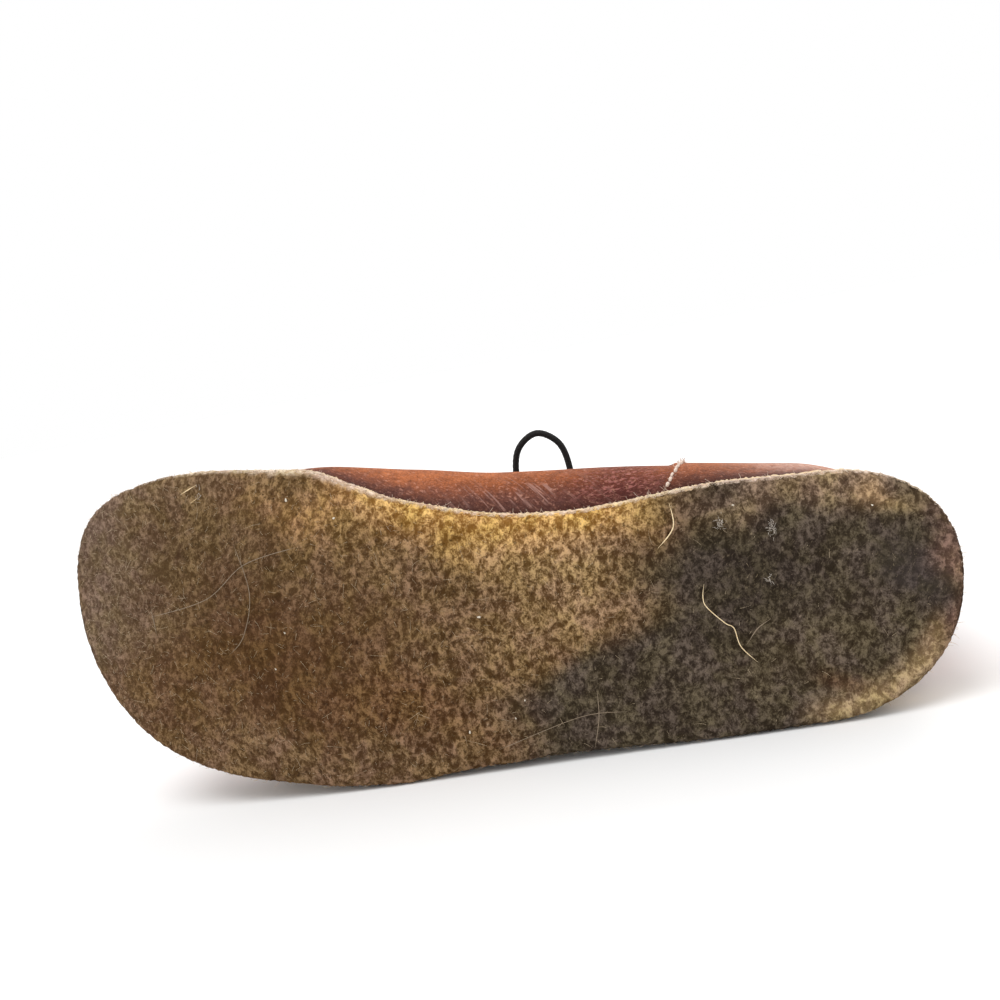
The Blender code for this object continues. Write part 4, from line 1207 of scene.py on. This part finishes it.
def upper_grid():
    """Points of the upper's inner face, each with its section and share of the step, and its faces."""
    rows = upper_rows()
    points, numbers, weights, index = [], [], [], {}
    for r, number in enumerate(rows):
        for side in (1, -1):
            shares = section_shares(number, side)
            places = section_points(number, side, shares)
            for column in range(0 if number <= SEAM else THROAT_COLUMNS, len(shares)):
                shared = column == 0 or (column == len(shares) - 1 and number >= HEEL)
                if shared and side == -1:
                    index[r, side, column] = index[r, 1, column]
                    continue
                index[r, side, column] = len(points)
                points.append(places[column])
                numbers.append(number)
                weights.append(wall_share(number, column))
    faces = []
    last_column = SIDE_COLUMNS + THROAT_COLUMNS
    for r in range(len(rows) - 1):
        for side in (1, -1):
            for c in range(last_column):
                keys = ((r, side, c), (r, side, c + 1), (r + 1, side, c + 1), (r + 1, side, c))
                corners = [index.get(key) for key in keys]
                if None not in corners:
                    faces.append(tuple(corners if side == 1 else corners[::-1]))
    for c in range(last_column):
        corners = tuple(index[0, side, k] for side, k in ((-1, c), (-1, c + 1), (1, c + 1), (1, c)))
        faces.append(corners[1:] if c == 0 else corners)
    return points, np.array(numbers), weights, faces


def paint_leather(mesh, points, number, relief):
    """Where the leather is rubbed or given a painted highlight, dry, in painted shade next to the sole,
    matte, scratched, dusty or folded; windows are in mm.
    """
    x, y = points[:, 0] / MM, points[:, 1] / MM
    height = (points[:, 2] - seat(points[:, 0])) / MM
    before_seam = np.where(number < SEAM, 1.0, 0.0)
    # The bulge faces upward: its orange is partly rub, partly a painted highlight.
    bulge = bell(height, 26, 14) * np.where(y > 10, 1.0, 0.6)
    toe, heel, fore = eased((x - 235) / 50), eased((35 - x) / 30), bell(x, 183, 20)
    arch = bell(x, 139, 20) * bell(height, 8, 9)
    dusty = bell(x, 45, 17) * bell(height, 26, 16)
    low_inner = eased((44 - height) / 14) * eased(y / 20)
    store(
        mesh,
        crest=np.clip(relief / 0.0004, 0, 1) * 0.4,
        rub=np.clip(0.95 * bulge + 0.75 * toe + 0.6 * heel + 0.5 * fore, 0, 1),
        dry=eased((17 - height) / 13) * (0.3 + 0.7 * before_seam),
        sunk=0.7 * eased((11 - height) / 10),
        # painted shade next to the sole
        matte=eased((42 - height) / 12),
        scuff=np.clip(0.04 + arch, 0, 1),
        dust=np.where(y > 20, dusty, 0.0),
        net=bell(x, 106, 17) * (0.1 + 0.9 * before_seam) * low_inner,
    )


def upper_shell(leather, lining):
    """Vamp and quarters as one hollow wall with the step of the quarters' edge, creases and lace holes."""
    points, number, weights, faces = upper_grid()
    made = mesh_object("upper_leather", points, faces, [leather, lining])
    points = positions(made.data)
    relief = crease_relief(points)
    move_points(made.data, points + normals_of(made.data) * relief[:, None])
    paint_leather(made.data, points, number, relief)
    group = made.vertex_groups.new(name="quarter")
    for i, weight in enumerate(weights):
        group.add([i], weight, "REPLACE")
    wall = made.modifiers.new("wall", "SOLIDIFY")
    wall.thickness = QUARTER_WALL
    wall.offset = 1
    wall.vertex_group = "quarter"
    wall.thickness_vertex_group = VAMP_WALL / QUARTER_WALL
    wall.material_offset = 1
    cutter = lace_hole_cutter()
    holes = made.modifiers.new("holes", "BOOLEAN")
    holes.operation = "DIFFERENCE"
    holes.solver = "EXACT"
    holes.object = cutter
    applied(made)
    bpy.data.objects.remove(cutter)
    store_rest(made.data)
    places = positions(made.data)
    places[:, 2] = np.maximum(places[:, 2], seat(places[:, 0]))
    move_points(made.data, places)
    return ride(made, "brown_leather", "upper")


def tongue_sheet(leather):
    """The tongue under the throat, soft at its edges."""
    start, end = SEAM - 0.75, COLLAR + 0.8
    rows, columns = 60, 41
    across = np.linspace(-1, 1, columns)
    points = []
    for share in np.linspace(0, 1, rows):
        half = TONGUE_HALF_WIDTH + (TONGUE_TOP_HALF_WIDTH - TONGUE_HALF_WIDTH) * share
        half *= 1 - 0.25 * max(0.0, share - 0.9) / 0.1
        points.append(lifted(start + (end - start) * share, half * across, -TONGUE_CLEARANCE))
    made = lofted("tongue_sheet", points, leather, closed=False)
    unmarked = ("scuff", "crest", "net", "dry", "dust", "sunk", "matte")
    store(made.data, rub=0.25 * (1 - np.abs(np.tile(across, rows)) ** 4))
    store(made.data, **{name: np.zeros(rows * columns) for name in unmarked})
    wall = made.modifiers.new("wall", "SOLIDIFY")
    wall.thickness = TONGUE_WALL
    wall.offset = -1
    soft = made.modifiers.new("soft_edge", "BEVEL")
    soft.width = 0.0006
    soft.segments = 2
    return ride(applied(made), "tongue_leather", "tongue")


# Thread and lace


def smooth_path(points, per_span=8):
    """Points along a smooth curve through the route's own points."""
    points = np.array(points, float)
    padded = np.concatenate([points[:1], points, points[-1:]])
    tangents = (padded[2:] - padded[:-2]) / 2
    t = np.linspace(0, 1, per_span + 1)[1:, None]
    spans = zip(points[:-1], points[1:], tangents[:-1], tangents[1:])
    return np.concatenate([points[:1]] + [hermite(t, *span) for span in spans])


def run_of(path):
    """Length along a path at each of its points."""
    return np.concatenate([[0], np.cumsum(np.linalg.norm(np.diff(path, axis=0), axis=1))])


def at_run(at, run, rows):
    return np.stack([np.interp(at, run, rows[:, i]) for i in range(3)], axis=1)


def resampled(path, step):
    """A path with points about a step apart, and the length along it at each."""
    run = run_of(path)
    at = np.linspace(0, run[-1], max(2, int(round(run[-1] / step)) + 1))
    return at_run(at, run, path), at


def tube_points(path, radii, sides, phase=None):
    """Rings of a tube along a path, without twist; phase changes the radius round each ring."""
    tangent = unit_rows(np.gradient(path, axis=0))
    normal = np.cross(tangent[0], (0.31, 0.87, 0.39))
    rings = []
    turn = np.linspace(0, 2 * np.pi, sides, endpoint=False)
    for i, place in enumerate(path):
        normal = normal - tangent[i] * normal.dot(tangent[i])
        normal /= np.linalg.norm(normal)
        side = np.cross(tangent[i], normal)
        radius = radii[i] * (1 if phase is None else phase(i, turn))
        ring = np.outer(np.cos(turn) * radius, normal) + np.outer(np.sin(turn) * radius, side)
        rings.append(place + ring)
    return np.concatenate(rings)


def tube(name, path, radii, sides, finish, lay=True, phase=None):
    """One tube with closed ends as a piece."""
    points = tube_points(path, radii, sides, phase)
    return outward(mesh_object(name, points, loft_faces(len(path), sides), [finish], lay))


class Bundle:
    """Many separate tubes in one mesh."""

    def __init__(self):
        self.points, self.faces = [], []

    def add(self, path, radii, sides):
        base = len(self.points)
        self.points += list(tube_points(path, radii, sides))
        self.faces += [tuple(base + i for i in face) for face in loft_faces(len(path), sides)]

    def piece(self, name, *finishes):
        return outward(mesh_object(name, self.points, self.faces, finishes))


LACE_STEP = 0.0003
LACE_SIDES = 20
BRAID_PITCH = 0.0042
OVER_WALL = QUARTER_WALL + LACE_RADIUS + 0.0004
UNDER_WALL = -0.3 * TONGUE_CLEARANCE


def braided(name, path, finish, lay=True):
    """A round braided lace along a path: crossing yarns stand a little proud."""
    path, at = resampled(np.array(path), LACE_STEP)
    ends = np.minimum(at, at[-1] - at) / (0.4 * LACE_RADIUS)
    radii = LACE_RADIUS * np.sqrt(np.clip(ends * (2 - np.clip(ends, 0, 1)), 0.3, 1))

    def phase(i, turn):
        lean = 2 * np.pi * at[i] / BRAID_PITCH
        yarns = np.maximum(np.cos(4 * turn + 2 * lean), np.cos(4 * turn - 2 * lean))
        return 0.95 + 0.05 * yarns

    return tube(name, path, radii, LACE_SIDES, finish, lay, phase), path


def held_lace(name, path, finish, *nodes):
    """A stretch of lace that the boot holds."""
    ride(braided(name, smooth_path(path, 6), finish)[0], "black_lace", *nodes)


def lace_bar(finish):
    """The straight bar between the lowest holes."""
    low = EYELET_SECTIONS[0]
    reach = eyelet_reach(low)
    first, last = (lifted(low, side * reach, UNDER_WALL)[0] for side in (-1, 1))
    over = [lifted(low, share * reach, OVER_WALL)[0] for share in np.linspace(-1, 1, 15)]
    held_lace("lace_low_bar", [first, *over, last], finish, "lace_bar")


def lace_crossing(finish):
    """Two strands over the tongue, one with a hump over the other."""
    low, high = EYELET_SECTIONS
    for side, name, nodes in ((1, "lace_cross_over", ("lace_cross",)), (-1, "lace_cross_under", ())):
        path = []
        for share in np.linspace(0, 1, 13):
            number = low + 0.5 + (high - low - 1.0) * share
            breadth = (float(section_throat(number)) - LACE_RADIUS - 0.0006) * side * (1 - 2 * share)
            hump = (2.1 if side == 1 else 0.0) * LACE_RADIUS * bell(share, 0.5, 0.16)
            path.append(lifted(number, breadth, LACE_RADIUS - TONGUE_CLEARANCE + 0.0004 + hump)[0])
        held_lace(name, path, finish, *nodes)


def lace_knot(finish):
    """The knot, and the strands that come to it from the top holes. Gives the knot's middle."""
    lift = QUARTER_WALL + KNOT_RADII[2] + 2 * LACE_RADIUS
    middle, foot = lifted(KNOT_SECTION, 0.0001, lift)[0], beside_ridge(KNOT_SECTION, 0.0001)[0]
    out = Vector(middle - foot).normalized()
    across = Vector(lifted(KNOT_SECTION, 0.004, 0.0)[0] - lifted(KNOT_SECTION, -0.004, 0.0)[0]).normalized()
    along = out.cross(across).normalized()
    size = np.array(KNOT_RADII) - LACE_RADIUS
    trefoil = [
        Vector(middle)
        + along * float(size[0] * (np.sin(t) + 2 * np.sin(2 * t)) / 3)
        + across * float(size[1] * (np.cos(t) - 2 * np.cos(2 * t)) / 3)
        + out * float(-size[2] * np.sin(3 * t))
        for t in np.linspace(0, 2 * np.pi, 121)
    ]
    knot, _ = braided("lace_bow_knot", [tuple(p) for p in trefoil], finish)
    ride(knot, "black_lace", "lace_knot")
    high = EYELET_SECTIONS[1]
    for side, name in ((1, "lace_strand_medial"), (-1, "lace_strand_lateral")):
        reach = side * eyelet_reach(high)
        path = [lifted(high, reach, UNDER_WALL)[0]]
        path += [lifted(high, reach * share, OVER_WALL)[0] for share in (1.0, 0.86, 0.7, 0.5)]
        path.append(middle + np.array(across) * side * 0.5 * KNOT_RADII[1])
        held_lace(name, path, finish)
    return middle


def lace_tip(name, last, onward, finish):
    """The hard tip on an end of the lace, with two crimps."""
    path, at = resampled(np.array([last, last + onward * (GAP + TIP_LENGTH)]), 0.0004)
    ends = np.clip((at[-1] - at) / 0.001, 0, 1)
    radii = TIP_RADIUS * (0.7 + 0.3 * np.sqrt(ends * (2 - ends)))
    crimp = 1 - 0.08 * bell(at, 0.0016, 0.0004) - 0.08 * bell(at, 0.0034, 0.0004)
    return tube("lace_aglet_" + name, path, radii * crimp, 20, finish, False)


def laces(finish, tip_finish):
    """The lace: lower bar, crossing, knot with its strands, bow loops, ends and tips."""
    lace_bar(finish)
    lace_crossing(finish)
    start = LYING @ Vector(lace_knot(finish))
    for name, route in (("loop_medial", LOOP_MEDIAL), ("loop_lateral", LOOP_LATERAL)):
        path = smooth_path([start + Vector(p) for p in route])
        loop, path = braided("lace_bow_" + name, path, finish, False)
        ride(loop, "black_lace", "lace_" + name)
    for name, route in (("toeward", END_TOEWARD), ("heelward", END_HEELWARD)):
        path = smooth_path([start + Vector(p) for p in route])
        onward = Vector(path[-1] - path[-2])
        onward.z = 0
        last = Vector(path[-1])
        tail, path = braided("lace_tail_" + name, path, finish, False)
        tip = lace_tip(name, last, onward.normalized(), tip_finish)
        ride(tip, "lace_tip", "lace_tip_" + name)
        ride(tail, "black_lace", "lace_end_" + name)


STITCH_LENGTH = 0.0023
STITCH_PITCH = 0.0034
SEAM_THREAD = 0.00058
SEAM_LOOSENESS = 0.0006
SEAM_SETBACK = 0.0018
SEAM_DRIFT = 0.0016
COLLAR_THREAD = 0.0003
COLLAR_ROW = COLLAR - 0.14
ROW_POINTS = 60
ROW_END = 0.985


def stitch_rows(name, routes, finish, radius, looseness=0.0):
    """Separate stitches along routes of (place, normal): each dips into the leather at both ends."""
    stitches = Bundle()
    share = np.linspace(0, 1, 7)
    arch = np.sin(np.pi * share)
    for route in routes:
        places, normals = (np.array(column) for column in zip(*route))
        run = run_of(places)
        for first in np.arange(0.001, run[-1] - STITCH_LENGTH, STITCH_PITCH):
            at = first + share * STITCH_LENGTH
            middle, up = at_run(at, run, places), at_run(at, run, normals)
            sideways = np.cross(up[3], middle[-1] - middle[0])
            sideways /= np.linalg.norm(sideways)
            shift = looseness * (rng.normal(0, 0.3) + rng.normal(0, 1.0) * (share - 0.5))
            middle = middle + up * (radius * (1.5 * arch**0.6 - 0.8))[:, None]
            middle = middle + np.outer(shift, sideways)
            swell = 1 + 300 * looseness * rng.uniform(-1, 1)
            stitches.add(middle, radius * (0.55 + 0.45 * arch**0.5) * swell, 8)
    return ride(stitches.piece(name, finish), "brown_leather")


def seam_route(side):
    """A line on the quarter behind its front edge, nearest to it at the sole."""
    route = []
    step = 0.1
    for share in np.linspace(float(share_at_breadth(SEAM, side, 0.0125)), ROW_END, ROW_POINTS):
        ahead, behind = (section_points(number, side, share) for number in (SEAM, SEAM + step))
        spacing = float(np.linalg.norm(behind - ahead) / step)
        number = SEAM + (SEAM_SETBACK + SEAM_DRIFT * eased((1 - share) / 0.2)) / spacing
        route.append(wall_point(number, side, share, QUARTER_WALL))
    return route


def collar_route(side):
    """A line below the collar's edge."""
    shares = np.linspace(float(share_at_breadth(COLLAR - 0.15, side, 0.018)), ROW_END, ROW_POINTS)
    return [wall_point(COLLAR_ROW, side, share, QUARTER_WALL) for share in shares]


# Hairs, specks and fuzz


FLOOR_CLEARANCE = 0.0002
OVER_TREAD = 0.0003
FRAYS_PER_SIDE = 110
FRAY_RADIUS = 0.0001
RIM_FIBRES = {1: 1500, -1: 420}
RIM_FIBRE_RADIUS = 0.0001
TREAD_FIBRES = 1200
TREAD_FIBRE_RADIUS = 0.000055
LINT_RADIUS = 0.00008


def on_tread(x_mm, y_mm):
    """A point just outside the tread."""
    x, y = x_mm * MM, y_mm * MM
    return np.array([x, y, float(tread(x, y)) - OVER_TREAD])


def lying_direction(dip):
    """A random direction along the tread, that leads out of it by the dip."""
    turn = rng.uniform(0, 2 * np.pi)
    return np.array([math.cos(turn), math.sin(turn), -dip])


def hairs(finishes):
    """Single hairs on the tread, along their own points."""
    for hair in HAIRS:
        path = smooth_path([on_tread(x, y) for x, y in hair.points], 10)
        path[:, 2] -= 0.0002 * (1 + np.sin(np.linspace(0, 9, len(path))))
        path, at = resampled(path, 0.0006)
        taper = np.clip(np.minimum(at, at[-1] - at) / 0.004, 0.25, 1)
        made = tube("hair_" + hair.name, path, hair.radius_mm * MM * taper, 6, finishes[hair.colour])
        ride(made, "crepe_tread")


def fibres(name, starts, directions, lengths, radius, finish, slot="crepe_tread"):
    """Short curved fibres, each a thin tapered tube."""
    bundle = Bundle()
    share = np.linspace(0, 1, 5)[:, None]
    for start, direction, length in zip(starts, directions, lengths):
        bend = rng.normal(0, 0.35, 3)
        path = start + direction * length * share + bend * length * share**2 * 0.6
        if min((LYING @ Vector(p)).z for p in path) >= FLOOR_CLEARANCE:
            bundle.add(path, radius * np.linspace(1, 0.35, 5), 3)
    return ride(bundle.piece(name, finish), slot)


def seam_frays(routes, finish):
    """Loose ends of thread beside the lower part of the seam."""
    starts, directions = [], []
    for route in routes:
        for pick in rng.integers(2 * len(route) // 3, len(route), FRAYS_PER_SIDE):
            place, normal = route[pick]
            starts.append(place + rng.normal(0, 0.0004, 3))
            directions.append(0.5 * normal + rng.normal(0, 0.6, 3))
    lengths = rng.gamma(2.0, 0.0005, len(starts)) + 0.0004
    return fibres("seam_frays", starts, directions, lengths, FRAY_RADIUS, finish, "brown_leather")


def edge_fuzz(finish):
    """Fibres that stand out of the sole's rim, most along the inner side."""
    stations = outline_stations(0.0007)
    starts, directions = [], []
    for side, count in RIM_FIBRES.items():
        x = rng.choice(stations, count)
        y = sole_edge(x, side)
        slope = (sole_edge(x + 1e-4, side) - sole_edge(x - 1e-4, side)) / 2e-4
        for xi, yi, si in zip(x, y, np.nan_to_num(slope)):
            normal = np.array([-si * side, side, 0.0])
            normal /= np.linalg.norm(normal)
            rise = EDGE_ROUND * rng.uniform(0.3, 1.9)
            starts.append(np.array([xi, yi, float(tread(xi, yi)) + rise]) - normal * 0.0003)
            lean = rng.normal(0, 0.9, 3) * (1.0, 0.3, 0.5)
            directions.append((normal * rng.uniform(0.3, 1.0) + lean) / 1.6)
    lengths = rng.gamma(2.0, 0.0005, len(starts)) + 0.0005
    return fibres("crepe_rim_fuzz", starts, directions, lengths, RIM_FIBRE_RADIUS, finish)


def tread_fuzz(finish):
    """Fibres lying in the crumb, most at the toe."""
    starts, directions = [], []
    while len(starts) < TREAD_FIBRES:
        x = LENGTH * (1 - abs(rng.normal(0, 0.32)))
        if not 0.004 < x < LENGTH - 0.003:
            continue
        low, high = sole_edge(x, -1) + 0.003, sole_edge(x, 1) - 0.003
        y = rng.uniform(low, high)
        starts.append(np.array([x, y, float(tread(x, y)) - 0.0001]))
        directions.append(lying_direction(0.06))
    lengths = rng.gamma(1.4, 0.0009, len(starts)) + 0.0005
    return fibres("crepe_tread_fuzz", starts, directions, lengths, TREAD_FIBRE_RADIUS, finish)


def lint(finish):
    """Small tufts of pale fibres on the tread."""
    starts, directions = [], []
    for x, y, reach, count in LINT:
        for _ in range(count):
            xi, yi = np.array([x, y]) + rng.normal(0, 0.5, 2) * (0.7 * reach, 1.2 * reach)
            starts.append(on_tread(xi, yi))
            directions.append(lying_direction(0.15))
    lengths = rng.gamma(2.0, 0.0003, len(starts)) + 0.0003
    return fibres("crepe_lint", starts, directions, lengths, LINT_RADIUS, finish)


def specks(finish):
    """Bits of grit on the tread."""
    bm = bmesh.new()
    for x, y in SPECKS:
        size = rng.uniform(0.0002, 0.00038)
        turn = Matrix.Rotation(rng.uniform(0, 3), 4, "Z") @ Matrix.Diagonal((1.6 * size, size, size, 1))
        made = bmesh.ops.create_icosphere(bm, subdivisions=2, radius=1.0)
        for vertex in made["verts"]:
            vertex.co *= 1 + 0.25 * math.sin(7 * vertex.co.x + 5 * vertex.co.y * vertex.co.z)
        place = Matrix.Translation(Vector(on_tread(x, y))) @ turn
        bmesh.ops.transform(bm, matrix=place, verts=made["verts"])
    mesh = bpy.data.meshes.new("crepe_specks")
    bm.to_mesh(mesh)
    bm.free()
    mesh.shade_smooth()
    mesh.materials.append(finish)
    made = linked("crepe_specks", mesh)
    made.matrix_world = LYING
    return ride(made, "crepe_tread")


# Stage


CAMERA_AZIMUTH, CAMERA_ELEVATION, CAMERA_ROLL = (math.radians(a) for a in (9.797, 7.0, -11.313))
CAMERA_DISTANCE = 0.40
CAMERA_TARGET = Vector((0.009534, -0.055, 0.088433))
CAMERA_LENS = 43.87


def camera():
    """The photo's view of the boot."""
    level = math.cos(CAMERA_ELEVATION)
    sideways, away = math.sin(CAMERA_AZIMUTH) * level, -math.cos(CAMERA_AZIMUTH) * level
    backward = Vector((sideways, away, math.sin(CAMERA_ELEVATION)))
    right = Vector((0, 0, 1)).cross(backward).normalized()
    turn = Matrix((right, backward.cross(right), backward)).transposed()
    turn = turn @ Matrix.Rotation(CAMERA_ROLL, 3, "Z")
    made = linked("camera", bpy.data.cameras.new("camera"))
    made.data.sensor_width = 36.0
    made.data.lens = CAMERA_LENS
    made.data.clip_start = 0.01
    made.matrix_world = Matrix.Translation(CAMERA_TARGET + backward * CAMERA_DISTANCE) @ turn.to_4x4()
    bpy.context.scene.camera = made


def lamp(name, kind, energy, turn, place=(0, 0, 0), **settings):
    """A lamp with settings of its own."""
    data = bpy.data.lights.new(name, kind)
    data.energy = energy
    for setting, value in settings.items():
        setattr(data, setting, value)
    made = linked(name, data)
    made.location = place
    made.rotation_euler = turn.to_euler()


def stage():
    """A plain pale floor and soft studio light: a wide sun, even over the floor, and a fill from behind."""
    nodes = Finish("floor_pale")
    where = nodes.add("ShaderNodeTexCoord").outputs["Object"]
    tone = nodes.spread(nodes.noise(where, 3.0, 2.0), 0.3, 0.7)
    colour = nodes.mixed(tone, (0.86, 0.86, 0.86, 1), (0.88, 0.88, 0.88, 1))
    finish = nodes.shaded(Base_Color=colour, Roughness=0.9, Specular_IOR_Level=0.1)
    side = 12.0
    corners = [(-side, -side, 0), (side, -side, 0), (side, side, 0), (-side, side, 0)]
    mesh_object("floor", corners, [(0, 1, 2, 3)], [finish], lay=False)
    world = bpy.data.worlds.new("studio")
    world.use_nodes = True
    background = world.node_tree.nodes["Background"]
    background.inputs["Color"].default_value = (1.0, 1.0, 1.0, 1)
    background.inputs["Strength"].default_value = 1.0
    bpy.context.scene.world = world
    from_above = Vector((-0.25, -0.35, 1.0)).to_track_quat("Z", "Y")
    lamp("key", "SUN", 1.2, from_above, angle=math.radians(35))
    place, target = Vector((0.7, 1.3, 0.9)), Vector((0, 0, 0.05))
    lamp("fill", "AREA", 6, (target - place).to_track_quat("-Z", "Y"), place, shape="DISK", size=1.0)
    bpy.context.scene.view_settings.view_transform = "Standard"


def main():
    camera()
    stage()
    lace_finish = thread_material("lace_black_cotton", (36, 35, 34), (9, 9, 9), 2600.0)
    tip_finish = glossy_material("lace_tip_black", (34, 32, 30), (16, 15, 14))
    laces(lace_finish, tip_finish)
    leather = leather_material("leather_brown", (72, 36, 28), (120, 64, 44), (194, 116, 73))
    tongue_finish = leather_material("leather_tongue", (58, 26, 20), (92, 46, 32), (130, 72, 46))
    lining = plain_leather("leather_lining", (178, 140, 100), (134, 98, 66), 0.75)
    sock = plain_leather("leather_insole", (160, 120, 80), (108, 76, 48), 0.7)
    upper_shell(leather, lining)
    tongue_sheet(tongue_finish)
    insole_sock(sock)
    wedge_edge(edge_material())
    crepe_tread(crepe_material())
    pale_thread = thread_material("thread_pale", (250, 236, 224), (196, 168, 150), 5200.0)
    brown_thread = thread_material("thread_brown", (120, 72, 48), (60, 34, 24), 5200.0)
    seam_rows = [seam_route(side) for side in (1, -1)]
    stitch_rows("seam_stitches", seam_rows, pale_thread, SEAM_THREAD, SEAM_LOOSENESS)
    seam_frays(seam_rows, pale_thread)
    stitch_rows("collar_stitches", [collar_route(side) for side in (1, -1)], brown_thread, COLLAR_THREAD)
    finishes = {
        "straw": thread_material("hair_straw", (250, 230, 192), (226, 194, 142), 3000.0),
        "pale_hair": thread_material("hair_pale", (212, 192, 160), (166, 144, 114), 3000.0),
        "grey_hair": thread_material("hair_grey", (158, 140, 118), (114, 98, 80), 3000.0),
    }
    hairs(finishes)
    fuzz_finish = thread_material("crepe_fuzz", (238, 222, 204), (196, 170, 146), 3000.0)
    edge_fuzz(fuzz_finish)
    tread_fuzz(finishes["pale_hair"])
    lint(thread_material("lint_pale", (226, 216, 204), (170, 158, 144), 3000.0))
    specks(thread_material("speck_pale", (238, 230, 214), (196, 184, 164), 2000.0))


main()
